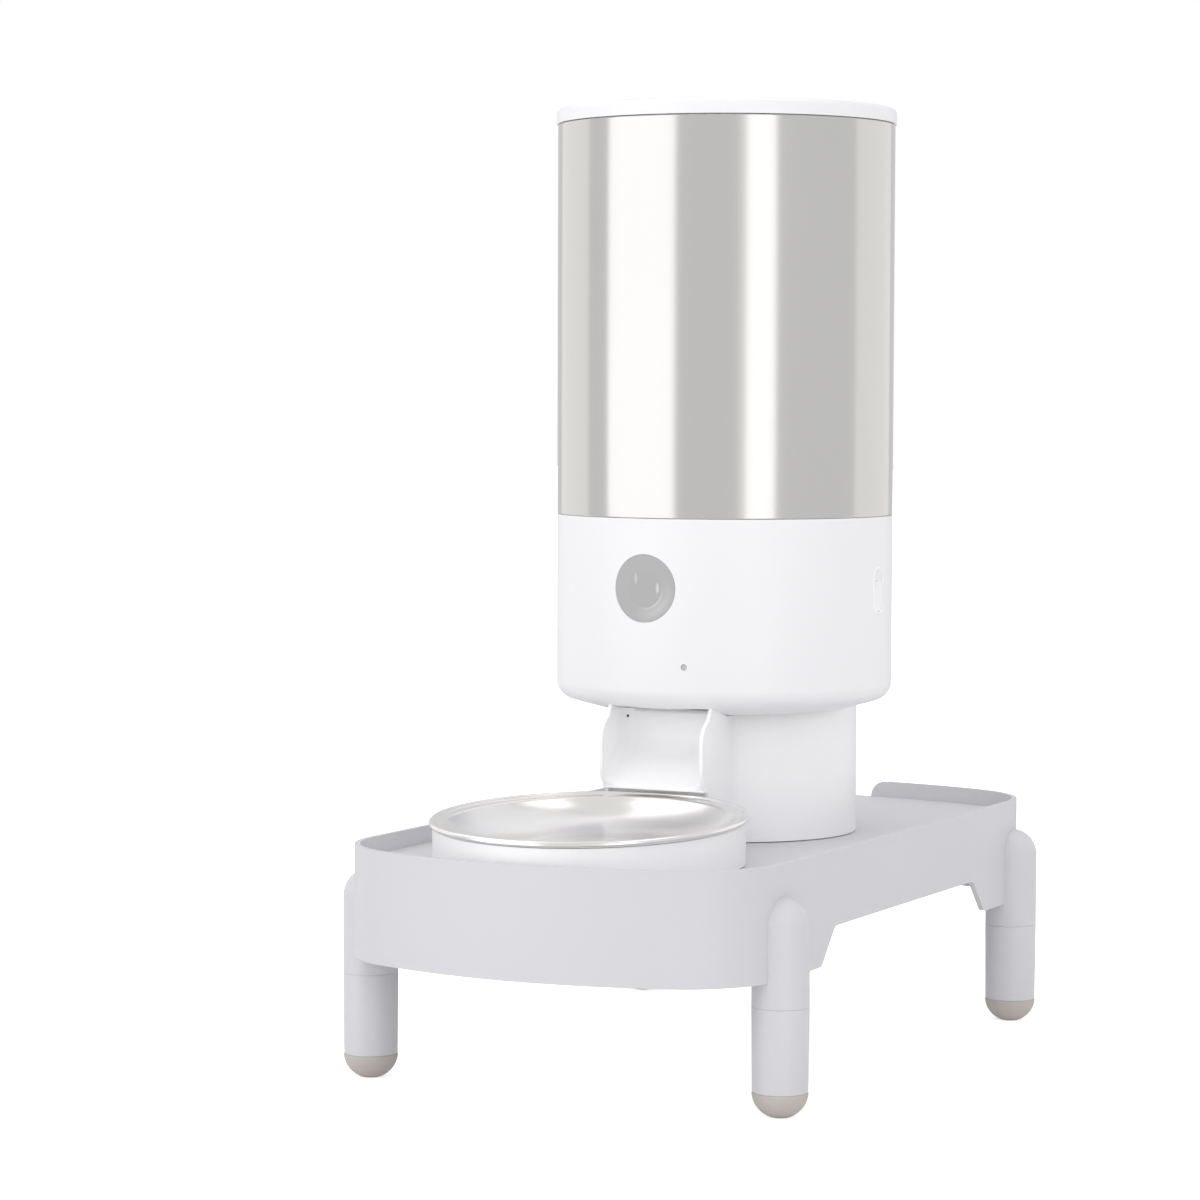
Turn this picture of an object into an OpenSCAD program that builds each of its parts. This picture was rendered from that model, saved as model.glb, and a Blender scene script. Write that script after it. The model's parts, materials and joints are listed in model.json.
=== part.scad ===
// Automatic pet feeder: a steel hopper on a white metering drum and pedestal,
// with its dish, standing in a raised stand on four legs. Front is -Y, up is +Z.
// The origin is on the floor, under the middle of the stand.

/* [Stand] */
// Width of the stand over its side walls
stand_w = 245; // [230:1:260]
// Length of the stand, front to back
stand_l = 466; // [455:1:490]
// Thickness of the stand's walls
stand_wall = 3; // [2:0.5:4]
// Height of the rim above the stand's floor
rim_h = 9.5; // [6:0.5:12]
// Depth of the skirt below the stand's floor
skirt_h = 50.2; // [40:0.2:58]
// Thickness of the stand's floor
stand_floor_t = 2.8; // [2:0.2:4]
// Radius of the stand's four corners in plan
corner_r = 58; // [45:1:75]
// Radius of the gently bowed front and back
bow_r = 240; // [220:10:600]
// Rise of the arch between the legs above the skirt's lower edge
arch_rise = 19.4; // [10:0.2:26]
// Distance from the stand's front end to the foot of the arch
arch_front_end = 118; // [108:1:130]
// Distance from the stand's rear end to the foot of the arch
arch_rear_end = 112; // [104:1:126]
// Length that each sloping end of the arch takes
arch_slope = 18; // [8:1:24]
// Radius of the arch's corners
arch_r = 5; // [2:0.5:6]
// Width of the cable notch in the rear rim
cable_notch_w = 12; // [8:1:40]
// Thickness of the ribs under the stand's floor
rib_t = 2; // [1.5:0.5:3]
// Depth of the ribs under the stand's floor
rib_h = 6; // [4:1:12]

/* [Legs] */
// Diameter of the legs
leg_d = 29.8; // [24:0.2:34]
// Distance of a leg's axis inside the stand's side
leg_side = 1.5; // [-3:0.5:6]
// Distance of a front leg's axis from the stand's front end
leg_front_end = 68.8; // [58:0.2:78]
// Distance of a rear leg's axis from the stand's rear end
leg_rear_end = 64; // [58:0.2:78]
// Height of the post that is moulded on the stand, to the top of its dome
post_h = 56.3; // [50:0.1:60]
// Height of the joint line below the stand's floor
split_depth = 63.5; // [62:0.5:75]
// Height of the lower leg between its foot and the joint line
lower_leg_h = 44.1; // [30:0.1:70]
// How much less the leg's radius is at its foot
leg_taper = 0.4; // [0:0.1:1]
// Diameter of the spigot that holds the lower leg in its post
spigot_d = 19.4; // [14:0.2:21]
// Length of the spigot
spigot_h = 28; // [15:1:32]
// Wall of the hollow lower leg's spigot
spigot_wall = 3; // [2:0.5:4]
// Height of the rubber foot
foot_h = 12.9; // [10:0.1:14]
// Height of the foot's stub inside the leg
foot_stub_h = 8; // [4:1:12]
// Diameter of the foot's stub
foot_stub_d = 16; // [10:0.5:20]

/* [Pedestal] */
// Distance of the feeder's axis behind the middle of the stand
feeder_y = 25.9; // [20:0.1:28]
// Diameter of the pedestal
pedestal_d = 142; // [136:1:150]
// Distance of the pedestal's axis behind the hopper's axis
pedestal_y = 11.5; // [9:0.5:13]
// Height of the pedestal up to the drum
pedestal_h = 73.5; // [70:0.5:85]
// Wall of the pedestal
pedestal_wall = 2.5; // [2:0.5:3.5]
// Height of the shadow groove under the drum
groove_h = 0.8; // [0.5:0.1:2]
// Depth of the shadow groove
groove_d = 1.2; // [0.6:0.1:1.6]
// Thickness of the pedestal's bottom cover
base_cover_t = 2.5; // [2:0.5:4]
// How far the base pads stand below the pedestal
pad_proud = 0.5; // [0.3:0.1:1.5]
// Diameter of a base pad
pad_d = 14; // [10:1:18]

/* [Dish] */
// Diameter of the dish over its rolled rim
dish_d = 170.1; // [166:0.1:172]
// Depth of the dish
dish_depth = 18.5; // [14:0.5:19]
// Thickness of the dish's steel
dish_t = 0.8; // [0.6:0.1:1.2]
// Radius of the rolled rim
rim_bead_r = 1.6; // [1.2:0.1:2]
// Height of the middle of the rim above the pedestal's foot
dish_rim_h = 25.1; // [24:0.1:27]
// Distance of the dish's middle in front of the hopper's axis
dish_reach = 168.5; // [167:0.1:170]
// Forward tilt of the dish
dish_tilt = 3; // [2:0.1:5]
// Outer diameter of the holder ring under the dish
holder_d = 166; // [160:0.2:168]
// Wall of the holder ring
holder_wall = 3; // [2:0.5:4]
// Width of the tongue that ties the holder to the pedestal
tongue_w = 44; // [30:1:50]
// Height of the tongue
tongue_h = 10; // [6:1:14]

/* [Drum] */
// Diameter of the drum, and of the hopper on it
drum_d = 190; // [186:1:196]
// Height of the drum
drum_h = 104.9; // [102:0.5:115]
// Wall of the drum
drum_wall = 2.5; // [2:0.5:3]
// Radius of the drum's lower edge
drum_edge_r = 9; // [5:0.5:11]
// Depth of the socket in the drum's top that takes the hopper
socket_h = 15; // [12:0.5:15.5]
// Height of the camera above the drum's bottom
camera_rise = 68.3; // [64:0.5:70]
// Angle of the camera from the front
camera_angle = -2.7; // [-4:0.1:4]
// Diameter of the camera window
window_d = 37; // [30:0.5:40]
// Height of the microphone hole above the drum's bottom
mic_rise = 25.8; // [20:0.5:34]
// Angle of the microphone hole from the front
mic_angle = 11.6; // [9:0.1:20]
// Diameter of the microphone hole
mic_d = 3.5; // [2.5:0.1:5]
// Height of the middle of the lock recess above the drum's bottom
lock_rise = 65.7; // [55:0.5:68]
// Height of the lock recess
lock_h = 27; // [22:0.5:28]
// Width of the lock recess
lock_w = 15; // [12:0.5:18]
// Travel of the lock slider
lock_travel = 7; // [4:0.5:8]

/* [Chute] */
// Width of the chute over its cheeks
chute_w = 63; // [56:1:66]
// Wall of the chute
chute_wall = 2; // [1.6:0.2:2.5]
// Slope of the slide
slide_angle = 38; // [34:1:40]
// How far the cheeks stand in front of the hopper's axis
chute_reach = 95; // [92:0.5:96]
// How far the slide's lip stands in front of the hopper's axis
lip_reach = 88; // [86:0.5:89]

/* [Metering] */
// Inner diameter of the metering chamber
chamber_d = 120; // [116:1:124]
// Depth of the metering chamber below the deck
chamber_h = 36.5; // [34:0.5:38]
// Wall of the metering chamber
chamber_wall = 2; // [1.6:0.2:2.5]
// Thickness of the deck and of the chamber's floor
deck_t = 2.5; // [2:0.5:3]
// Clearance between the rotor and its chamber
rotor_gap = 1.2; // [0.8:0.1:2]
// Number of vanes on the rotor
vane_count = 6; // [4:1:8]
// Thickness of a vane
vane_t = 3; // [2:0.5:4]
// Diameter of the rotor's hub
hub_d = 24; // [20:1:28]
// Diameter of the rotor's shaft
shaft_d = 8; // [6:0.5:9]
// Running clearance of the shaft in its bush
running_gap = 0.05; // [0.02:0.01:0.08]

/* [Gears] */
// Gear module
gear_module = 1; // [0.9:0.05:1.05]
// Teeth of the drive gear on the rotor's shaft
drive_teeth = 44; // [40:4:44]
// Teeth of the motor pinion
pinion_teeth = 14; // [12:2:16]
// Width of the gears' teeth
gear_w = 7; // [5:0.5:8]
// Diameter of the gear motor's gearbox
gearbox_d = 37; // [34:1:38]
// Length of the gearbox
gearbox_h = 20; // [16:1:22]
// Diameter of the motor can
motor_d = 33; // [28:1:34]
// Length of the motor can
motor_h = 30; // [20:1:36]
// Diameter of the motor's output shaft
motor_shaft_d = 6; // [4:0.5:6]

/* [Hopper] */
// Height of the steel sleeve
sleeve_h = 219.1; // [160:1:300]
// Thickness of the steel sleeve
sleeve_t = 0.6; // [0.4:0.1:1]
// Wall of the inner tank
tank_wall = 2; // [1.6:0.2:2.5]
// Thickness of the tank's flange between drum and sleeve
flange_t = 1.5; // [1:0.1:3]
// Diameter of the throat at the bottom of the tank's funnel
throat_d = 114; // [100:1:118]
// Height of the funnel
funnel_h = 42; // [30:1:60]

/* [Lid] */
// Diameter of the lid
lid_d = 191.6; // [190:0.2:198]
// Thickness of the lid's cover
lid_t = 8.6; // [7:0.2:12]
// Wall of the lid
lid_wall = 2.5; // [2:0.5:3]
// Radius of the lid's upper edge
lid_edge_r = 3; // [1:0.5:4]
// Depth of the plug that fits in the tank
plug_h = 14; // [10:1:20]
// Clearance of the plug in the tank
plug_gap = 1; // [0.6:0.1:2]
// Thickness of the seal ring
seal_t = 3; // [2:0.5:4]
// Diameter of the desiccant box
desiccant_d = 62; // [50:1:70]
// Depth of the desiccant box
desiccant_h = 20; // [12:1:24]

/* [Hidden] */

seat_gap = 0.3;        // gap between pieces of different bodies that rest side by side
skin_gap = 0.15;       // gap between nested pieces of one body
eps = 0.5;             // overshoot of a cutting shape

leg_r = leg_d / 2;
leg_x = stand_w / 2 - leg_side;
leg_front_y = leg_front_end - stand_l / 2;
leg_rear_y = stand_l / 2 - leg_rear_end;
leg_foot_r = leg_r - leg_taper;
split_z = foot_h + lower_leg_h;
stand_floor_z = split_z + split_depth;
rim_z = stand_floor_z + rim_h;
skirt_z = stand_floor_z - skirt_h;
arch_z = skirt_z + arch_rise;
foot_z = stand_floor_z + pad_proud;     // level of the pedestal's foot

pedestal_r = pedestal_d / 2;
drum_r = drum_d / 2;
drum_z = foot_z + pedestal_h;
drum_floor_z = drum_z + drum_wall;
drum_top_z = drum_z + drum_h;
deck_z = drum_top_z - socket_h;
drum_in_r = drum_r - drum_wall;

chamber_r = chamber_d / 2;
chamber_floor_z = deck_z - chamber_h;
chamber_base_z = chamber_floor_z - deck_t;
duct_z = drum_floor_z + 0.3;
rotor_r = chamber_r - rotor_gap;
rotor_z = chamber_floor_z + seat_gap;
baffle_t = 1.5;
baffle_z = deck_z - 3.2;
vane_h = baffle_z - seat_gap - rotor_z;

drive_r = gear_module * drive_teeth / 2;
pinion_r = gear_module * pinion_teeth / 2;
gear_centres = drive_r + pinion_r;
gearbox_top_z = drum_floor_z + gearbox_h;
gear_z = gearbox_top_z + 3;
gearbox_y = gear_centres + 7;           // the output shaft stands off the gearbox's middle

outlet_w = chute_w - 2 * chute_wall - 1;
outlet_y1 = -(pedestal_r - pedestal_y) - chute_wall - 1;
outlet_y0 = outlet_y1 - 17.5;
duct_top_y0 = -chamber_r + 3;
duct_top_y1 = duct_top_y0 + 30;

sleeve_z = drum_top_z + flange_t;
sleeve_top_z = sleeve_z + sleeve_h;
sleeve_in_r = drum_r - sleeve_t;
tank_r = sleeve_in_r - skin_gap;
tank_in_r = tank_r - tank_wall;
tank_top_z = sleeve_top_z - 0.3;
spigot_z = deck_z + 0.6;
hopper_spigot_r = drum_in_r - 0.5;
lid_z = sleeve_top_z + 0.2;
plug_r = tank_in_r - plug_gap;

dish_r = dish_d / 2;
dish_z = foot_z + dish_rim_h;
holder_r = holder_d / 2;
holder_in_r = holder_r - holder_wall;
hook_t = 3.5;
hook_h = 3;

WHITE = "#f3f2f5";
STAND = "#d9d8dd";
STEEL = "#c6c6c4";
TAUPE = "#b8b0ac";
DARK = "#3a3a3c";
BOARD = "#2f6b45";

// ---- helpers -------------------------------------------------------------

function arc_points(centre, r, from, to, n) =
    [for (i = [0 : n]) let (t = from + (to - from) * i / n) centre + r * [cos(t), sin(t)]];

module at_feeder() {
    translate([0, feeder_y, 0]) children();
}

// A disc profile whose lower outer edge is rounded, for rotate_extrude
module rounded_base_profile(r, z0, z1, edge) {
    translate([0, z0]) square([r - edge, z1 - z0]);
    translate([0, z0 + edge]) square([r, z1 - z0 - edge]);
    translate([r - edge, z0 + edge]) circle(r = edge, $fn = 64);
}

// An upright pill outline: a slot of width w and overall height h
module pill(w, h) {
    square([w, h - w], center = true);
    for (s = [-1, 1]) translate([0, s * (h - w) / 2]) circle(d = w, $fn = 48);
}

module tube(r_out, r_in, z0, z1, fn = 128) {
    translate([0, 0, z0]) difference() {
        cylinder(r = r_out, h = z1 - z0, $fn = fn);
        translate([0, 0, -eps]) cylinder(r = r_in, h = z1 - z0 + 2 * eps, $fn = fn);
    }
}

module pan_screw(d, length, head_d, head_h) {
    cylinder(d = head_d, h = head_h, $fn = 32);
    translate([0, 0, head_h]) cylinder(d = d, h = length, $fn = 24);
}

// ---- stand -----------------------------------------------------------------

corner_x = stand_w / 2 - corner_r;
corner_y = stand_l / 2 - bow_r + sqrt(pow(bow_r - corner_r, 2) - pow(corner_x, 2));
tangent_x = corner_x * bow_r / (bow_r - corner_r);

// Plan of the stand: straight sides, bowed ends, and corners tangent to both
module stand_plan(inset) {
    square([stand_w - 2 * inset, 2 * corner_y], center = true);
    for (x = [-corner_x, corner_x]) for (y = [-corner_y, corner_y])
        translate([x, y]) circle(r = corner_r - inset, $fn = 128);
    intersection() {
        square([2 * tangent_x, stand_l], center = true);
        translate([0, bow_r - stand_l / 2]) circle(r = bow_r - inset, $fn = 720);
        translate([0, stand_l / 2 - bow_r]) circle(r = bow_r - inset, $fn = 720);
    }
}

module stand_slab(inset, z0, z1) {
    translate([0, 0, z0]) linear_extrude(z1 - z0) stand_plan(inset);
}

// Side view of the opening between two legs, with rounded corners
module arch_outline() {
    front = arch_front_end - stand_l / 2;
    rear = stand_l / 2 - arch_rear_end;
    lean = atan2(arch_rise, arch_slope);
    turn = arch_r * tan(lean / 2);
    polygon(concat(
        [[front - turn, skirt_z - eps]],
        arc_points([front - turn, skirt_z + arch_r], arch_r, 270, 270 + lean, 6),
        arc_points([front + arch_slope + turn, arch_z - arch_r], arch_r, 90 + lean, 90, 6),
        arc_points([rear - arch_slope - turn, arch_z - arch_r], arch_r, 90, 90 - lean, 6),
        arc_points([rear + turn, skirt_z + arch_r], arch_r, 270 - lean, 270, 6),
        [[rear + turn, skirt_z - eps]]
    ));
}

module each_leg() {
    for (x = [-leg_x, leg_x]) for (y = [leg_front_y, leg_rear_y]) translate([x, y, 0]) children();
}

module stand_post() {
    translate([0, 0, split_z]) cylinder(r = leg_r, h = post_h - leg_r, $fn = 64);
    translate([0, 0, split_z + post_h - leg_r]) sphere(r = leg_r, $fn = 64);
}

module stand_ribs() {
    rib_z = stand_floor_z - stand_floor_t - rib_h;
    for (x = [-0.24, 0.24] * stand_w)
        translate([x - rib_t / 2, -stand_l / 2 + stand_wall, rib_z])
            cube([rib_t, stand_l - 2 * stand_wall, rib_h + stand_floor_t / 2]);
    for (y = [-0.36, -0.12, 0.12, 0.36] * stand_l)
        translate([-stand_w / 2 + stand_wall / 2, y - rib_t / 2, rib_z])
            cube([stand_w - stand_wall, rib_t, rib_h + stand_floor_t / 2]);
}

module cable_notch() {
    notch_y = stand_l / 2 - stand_wall - eps;
    notch_r = rim_h - 0.5;
    translate([0, notch_y, 0]) rotate([-90, 0, 0]) linear_extrude(stand_wall + 2 * eps)
        polygon(concat(
            [[-cable_notch_w / 2, -stand_floor_z], [cable_notch_w / 2, -stand_floor_z]],
            arc_points([cable_notch_w / 2 + notch_r, -rim_z + notch_r], notch_r, 180, 270, 6),
            [[cable_notch_w / 2 + notch_r, -rim_z - eps], [-cable_notch_w / 2 - notch_r, -rim_z - eps]],
            arc_points([-cable_notch_w / 2 - notch_r, -rim_z + notch_r], notch_r, 270, 360, 6)
        ));
}

module stand_tray() {
    color(STAND)
    difference() {
        union() {
            difference() {
                stand_slab(0, skirt_z, rim_z);
                stand_slab(stand_wall, stand_floor_z, rim_z + eps);
                stand_slab(stand_wall, skirt_z - eps, stand_floor_z - stand_floor_t);
            }
            intersection() {
                stand_slab(stand_wall / 2, skirt_z, stand_floor_z - stand_floor_t / 2);
                stand_ribs();
            }
            each_leg() stand_post();
        }
        translate([-stand_w / 2 - eps, 0, 0]) rotate([90, 0, 90])
            linear_extrude(stand_w + 2 * eps) arch_outline();
        cable_notch();
        each_leg() translate([0, 0, split_z - eps])
            cylinder(d = spigot_d + 2 * skin_gap, h = spigot_h + 1 + eps, $fn = 48);
    }
}

// The lower leg is a hollow moulding that plugs into the stand's post
module lower_leg() {
    color(STAND)
    difference() {
        union() {
            translate([0, 0, foot_h]) cylinder(r1 = leg_foot_r, r2 = leg_r, h = lower_leg_h, $fn = 64);
            translate([0, 0, split_z]) cylinder(d = spigot_d, h = spigot_h, $fn = 48);
        }
        translate([0, 0, foot_h + foot_stub_h + 2])
            cylinder(d = spigot_d - 2 * spigot_wall, h = lower_leg_h + spigot_h, $fn = 48);
        translate([0, 0, foot_h - eps])
            cylinder(d = foot_stub_d + 2 * skin_gap, h = foot_stub_h + skin_gap + eps, $fn = 48);
    }
}

// The rubber foot is a ball cut flat where it stands
module foot() {
    ball_r = leg_foot_r + 0.2;
    color(TAUPE) {
        intersection() {
            translate([0, 0, foot_h]) sphere(r = ball_r, $fn = 64);
            cylinder(r = ball_r, h = foot_h, $fn = 64);
        }
        translate([0, 0, foot_h - 1]) cylinder(d = foot_stub_d, h = foot_stub_h + 1, $fn = 48);
    }
}

module leg_front_left() { translate([-leg_x, leg_front_y, 0]) lower_leg(); }
module leg_front_right() { translate([leg_x, leg_front_y, 0]) lower_leg(); }
module leg_rear_left() { translate([-leg_x, leg_rear_y, 0]) lower_leg(); }
module leg_rear_right() { translate([leg_x, leg_rear_y, 0]) lower_leg(); }
module foot_front_left() { translate([-leg_x, leg_front_y, 0]) foot(); }
module foot_front_right() { translate([leg_x, leg_front_y, 0]) foot(); }
module foot_rear_left() { translate([-leg_x, leg_rear_y, 0]) foot(); }
module foot_rear_right() { translate([leg_x, leg_rear_y, 0]) foot(); }

// ---- dish and holder -------------------------------------------------------

module in_dish_frame() {
    at_feeder() translate([0, -dish_reach, dish_z]) rotate([dish_tilt, 0, 0]) children();
}

// Half section of the dish, from its flat floor up to the rolled rim
module dish_profile() {
    wall_r = 45;
    flat_r = 43;
    sweep = 50;
    centre = [flat_r, wall_r - dish_depth];
    edge_x = flat_r + wall_r * sin(sweep);
    bead = [dish_r - rim_bead_r, -rim_bead_r];
    half_angle = asin(dish_t / 2 / rim_bead_r);     // where the sheet meets the bead
    polygon(concat(
        [[0, -dish_depth]],
        arc_points(centre, wall_r, -90, -90 + sweep, 14),
        [[edge_x + 2.2, -rim_bead_r - 0.2]],
        arc_points(bead, rim_bead_r, 180 - half_angle, -180 + half_angle, 16),
        [[edge_x + 2.6, -rim_bead_r - 0.2 - dish_t]],
        arc_points(centre, wall_r + dish_t, -90 + sweep, -90, 14),
        [[0, -dish_depth - dish_t]]
    ));
}

module food_bowl() {
    color(STEEL) in_dish_frame() rotate_extrude($fn = 180) dish_profile();
}

module holder_tongue() {
    tongue_y = -dish_reach + holder_in_r + 1;
    wall_y = pedestal_y - sqrt(pow(pedestal_r - pedestal_wall, 2) - pow(tongue_w / 2, 2));
    hook_y = wall_y + hook_t + skin_gap;
    translate([-tongue_w / 2, tongue_y, foot_z]) cube([tongue_w, hook_y - tongue_y, tongue_h - hook_h]);
    translate([-tongue_w / 2, hook_y - hook_t, foot_z]) cube([tongue_w, hook_t, tongue_h]);
}

module bowl_holder() {
    color(WHITE) at_feeder() difference() {
        union() {
            translate([0, -dish_reach, 0]) tube(holder_r, holder_in_r, foot_z, foot_z + 2 * dish_rim_h, 180);
            translate([0, -dish_reach, 0]) tube(holder_in_r + 0.5, holder_in_r - 12, foot_z, foot_z + 2, 180);
            difference() {
                holder_tongue();
                translate([0, -dish_reach, foot_z - eps]) cylinder(r = holder_in_r, h = tongue_h, $fn = 180);
            }
        }
        // cut level with the tilted dish's rim
        translate([0, -dish_reach, dish_z]) rotate([dish_tilt, 0, 0])
            translate([0, 0, -2 * rim_bead_r - seat_gap])
                linear_extrude(drum_h) square(2 * dish_d, center = true);
    }
}

// ---- pedestal ----------------------------------------------------------------

module at_pedestal() {
    at_feeder() translate([0, pedestal_y, 0]) children();
}

screw_ring_r = pedestal_r - 12;
pad_ring_r = screw_ring_r - 16;
screw_angles = [45, 135, 225, 315];
socket_rise = 13;      // power socket above the pedestal's foot
socket_w = 15;
socket_box_h = 12;

module pedestal() {
    body_top = drum_z - groove_h;
    color(WHITE) at_pedestal() difference() {
        union() {
            difference() {
                union() {
                    translate([0, 0, foot_z]) cylinder(r = pedestal_r, h = body_top - foot_z, $fn = 180);
                    translate([0, 0, body_top]) cylinder(r = pedestal_r - groove_d, h = groove_h, $fn = 180);
                }
                translate([0, 0, foot_z - eps])
                    cylinder(r = pedestal_r - pedestal_wall, h = pedestal_h + 2 * eps, $fn = 180);
            }
            // screw pillars down to the bottom cover
            for (a = screw_angles) rotate(a) translate([screw_ring_r, 0, foot_z + base_cover_t]) {
                cylinder(d = 8, h = 24, $fn = 32);
                translate([0, -1, 0]) cube([12 - pedestal_wall / 2, 2, 24]);
            }
        }
        // window in the front for the chute
        translate([-chute_w / 2 - skin_gap, -pedestal_r - 1, chute_foot_z])
            cube([chute_w + 2 * skin_gap, 24, drum_z - chute_foot_z + eps]);
        // slot that the holder's tongue hooks into
        translate([-tongue_w / 2 - skin_gap, -pedestal_r - 1, foot_z - eps])
            cube([tongue_w + 2 * skin_gap, 24, tongue_h - hook_h + skin_gap + eps]);
        // opening for the power socket
        translate([0, pedestal_r - 5, foot_z + socket_rise])
            cube([socket_w + 2 * skin_gap, 14, socket_box_h + 2 * skin_gap], center = true);
        for (a = screw_angles) rotate(a) translate([screw_ring_r, 0, foot_z])
            cylinder(d = 3, h = 20, $fn = 24);
    }
}

module pedestal_cover() {
    cover_r = pedestal_r - pedestal_wall - skin_gap;
    color(WHITE) at_pedestal() difference() {
        translate([0, 0, foot_z]) cylinder(r = cover_r, h = base_cover_t, $fn = 180);
        translate([-tongue_w / 2 - 1, -pedestal_r, foot_z - eps])
            cube([tongue_w + 2, 11, base_cover_t + 2 * eps]);
        for (a = screw_angles) rotate(a) translate([screw_ring_r, 0, foot_z - eps]) {
            cylinder(d = 3.4, h = base_cover_t + 2 * eps, $fn = 24);
            cylinder(d = 6.4, h = 1.5 + eps, $fn = 32);
        }
        for (a = screw_angles) rotate(a) translate([pad_ring_r, 0, foot_z - eps])
            cylinder(d = pad_d + 2 * skin_gap, h = 1 + eps, $fn = 48);
    }
}

module base_pads() {
    color(TAUPE) at_pedestal()
        for (a = screw_angles) rotate(a) translate([pad_ring_r, 0, foot_z - pad_proud])
            cylinder(d = pad_d, h = 1 + pad_proud, $fn = 48);
}

module cover_screws() {
    color(STEEL) at_pedestal()
        for (a = screw_angles) rotate(a) translate([screw_ring_r, 0, foot_z + 0.2])
            pan_screw(2.8, 14, 5.8, 1.3);
}

module power_socket() {
    color(DARK) at_pedestal() translate([0, 0, foot_z + socket_rise]) difference() {
        intersection() {
            translate([-socket_w / 2, pedestal_r - 14, -socket_box_h / 2]) cube([socket_w, 14, socket_box_h]);
            translate([0, 0, -socket_box_h]) cylinder(r = pedestal_r - 0.2, h = 2 * socket_box_h, $fn = 180);
        }
        translate([0, pedestal_r - 10, 0]) rotate([-90, 0, 0]) difference() {
            cylinder(d = 8, h = 12, $fn = 48);
            cylinder(d = 2, h = 9, $fn = 24);
        }
    }
}

// ---- chute -------------------------------------------------------------------

slide_top_y = outlet_y1;
slide_drop = tan(slide_angle);
lip_z = dish_z + dish_r * sin(dish_tilt) + 4;            // slide surface at its lip, clear of the dish
slide_top_z = lip_z + (lip_reach + slide_top_y) * slide_drop;
slide_t = chute_wall / cos(slide_angle);
chute_foot_z = slide_top_z - slide_t;

// Side view of a cheek: it bulges forward of the slide it guards
module cheek_outline() {
    polygon(concat(
        [[-chute_reach + 11, drum_z]],
        arc_points([-chute_reach + 14, drum_z - 16.5], 14, 112, 180, 8),
        arc_points([-chute_reach + 12, lip_z + 9.5], 12, 180, 232, 6),
        [[-lip_reach, lip_z - slide_t], [slide_top_y, chute_foot_z]],
        [[-38, chute_foot_z], [-38, drum_z]]
    ));
}

module slide_outline() {
    polygon([
        [-lip_reach, lip_z - slide_t], [-lip_reach, lip_z],
        [slide_top_y, slide_top_z], [slide_top_y, drum_z],
        [slide_top_y + chute_wall, drum_z], [slide_top_y + chute_wall, chute_foot_z + chute_wall],
        [-38, chute_foot_z + chute_wall], [-38, chute_foot_z], [slide_top_y, chute_foot_z]
    ]);
}

module food_chute() {
    color(WHITE) at_feeder() difference() {
        rotate([90, 0, 90]) {
            for (x = [-chute_w / 2, chute_w / 2 - chute_wall])
                translate([0, 0, x]) linear_extrude(chute_wall) cheek_outline();
            translate([0, 0, -chute_w / 2]) linear_extrude(chute_w) slide_outline();
        }
        // the cheeks end on the inside of the pedestal's wall
        translate([0, pedestal_y, foot_z])
            cylinder(r = pedestal_r - pedestal_wall, h = pedestal_h + 1, $fn = 180);
    }
}

// ---- drum --------------------------------------------------------------------

motor_hole_d = motor_d + 1;
speaker_at = [52, -4];
speaker_d = 36;
board_size = [46, 62];
board_at = [-54, 12];
lock_z = drum_z + lock_rise;

module lock_hole(w, h, from, to) {
    translate([from, 0, lock_z]) rotate([90, 0, 90]) linear_extrude(to - from) pill(w, h);
}

module drum_housing() {
    color(WHITE) at_feeder() difference() {
        union() {
            difference() {
                rotate_extrude($fn = 180) rounded_base_profile(drum_r, drum_z, drum_top_z, drum_edge_r);
                rotate_extrude($fn = 180) rounded_base_profile(drum_in_r, drum_floor_z, drum_top_z + eps,
                    drum_edge_r - drum_wall);
            }
            // pillars that carry the deck
            for (a = deck_screw_angles) rotate(a) translate([deck_screw_r, 0, drum_floor_z - eps])
                cylinder(d = 8, h = deck_z - deck_t - drum_floor_z + eps, $fn = 32);
            // pillar with the lower bearing of the rotor's shaft
            translate([0, 0, drum_floor_z - eps])
                cylinder(d = shaft_d + 8, h = gear_z - 1 - drum_floor_z + eps, $fn = 48);
            // posts under the circuit board
            for (x = [-1, 1]) for (y = [-1, 1])
                translate([board_at.x + x * (board_size.x / 2 - 4), board_at.y + y * (board_size.y / 2 - 4),
                    drum_floor_z - eps]) cylinder(d = 6, h = 6 + eps, $fn = 24);
        }
        // blind bearing for the rotor's shaft
        translate([0, 0, bearing_z]) cylinder(r = shaft_d / 2 + running_gap, h = gear_z, $fn = 48);
        // food outlet over the chute
        translate([-outlet_w / 2, outlet_y0, drum_z - eps])
            cube([outlet_w, outlet_y1 - outlet_y0, drum_wall + 2 * eps]);
        // motor, cable and speaker openings in the floor
        translate([0, gearbox_y, drum_z - eps]) cylinder(d = motor_hole_d, h = drum_wall + 2 * eps, $fn = 64);
        translate([-30, 30, drum_z - eps]) cylinder(d = 10, h = drum_wall + 2 * eps, $fn = 32);
        for (i = [-2 : 2]) translate([speaker_at.x + 5 * i - 1, speaker_at.y - 9, drum_z - eps])
            cube([2, 18, drum_wall + 2 * eps]);
        // camera window and microphone hole in the front
        rotate(camera_angle) translate([0, 0, drum_z + camera_rise]) rotate([90, 0, 0])
            cylinder(d = window_d + 2 * skin_gap, h = drum_r + eps, $fn = 96);
        rotate(mic_angle) translate([0, 0, drum_z + mic_rise]) rotate([90, 0, 0])
            cylinder(d = mic_d, h = drum_r + eps, $fn = 32);
        // hole for the lock's guide in the side
        lock_hole(lock_w + 2 * skin_gap, lock_h + 2 * skin_gap, drum_in_r - 4, drum_r + eps);
    }
}

bearing_z = drum_floor_z + 3;
bush_r = shaft_d / 2 + 3;
deck_screw_angles = [40, 140, 220, 320];
deck_screw_r = drum_in_r - 8;

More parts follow.
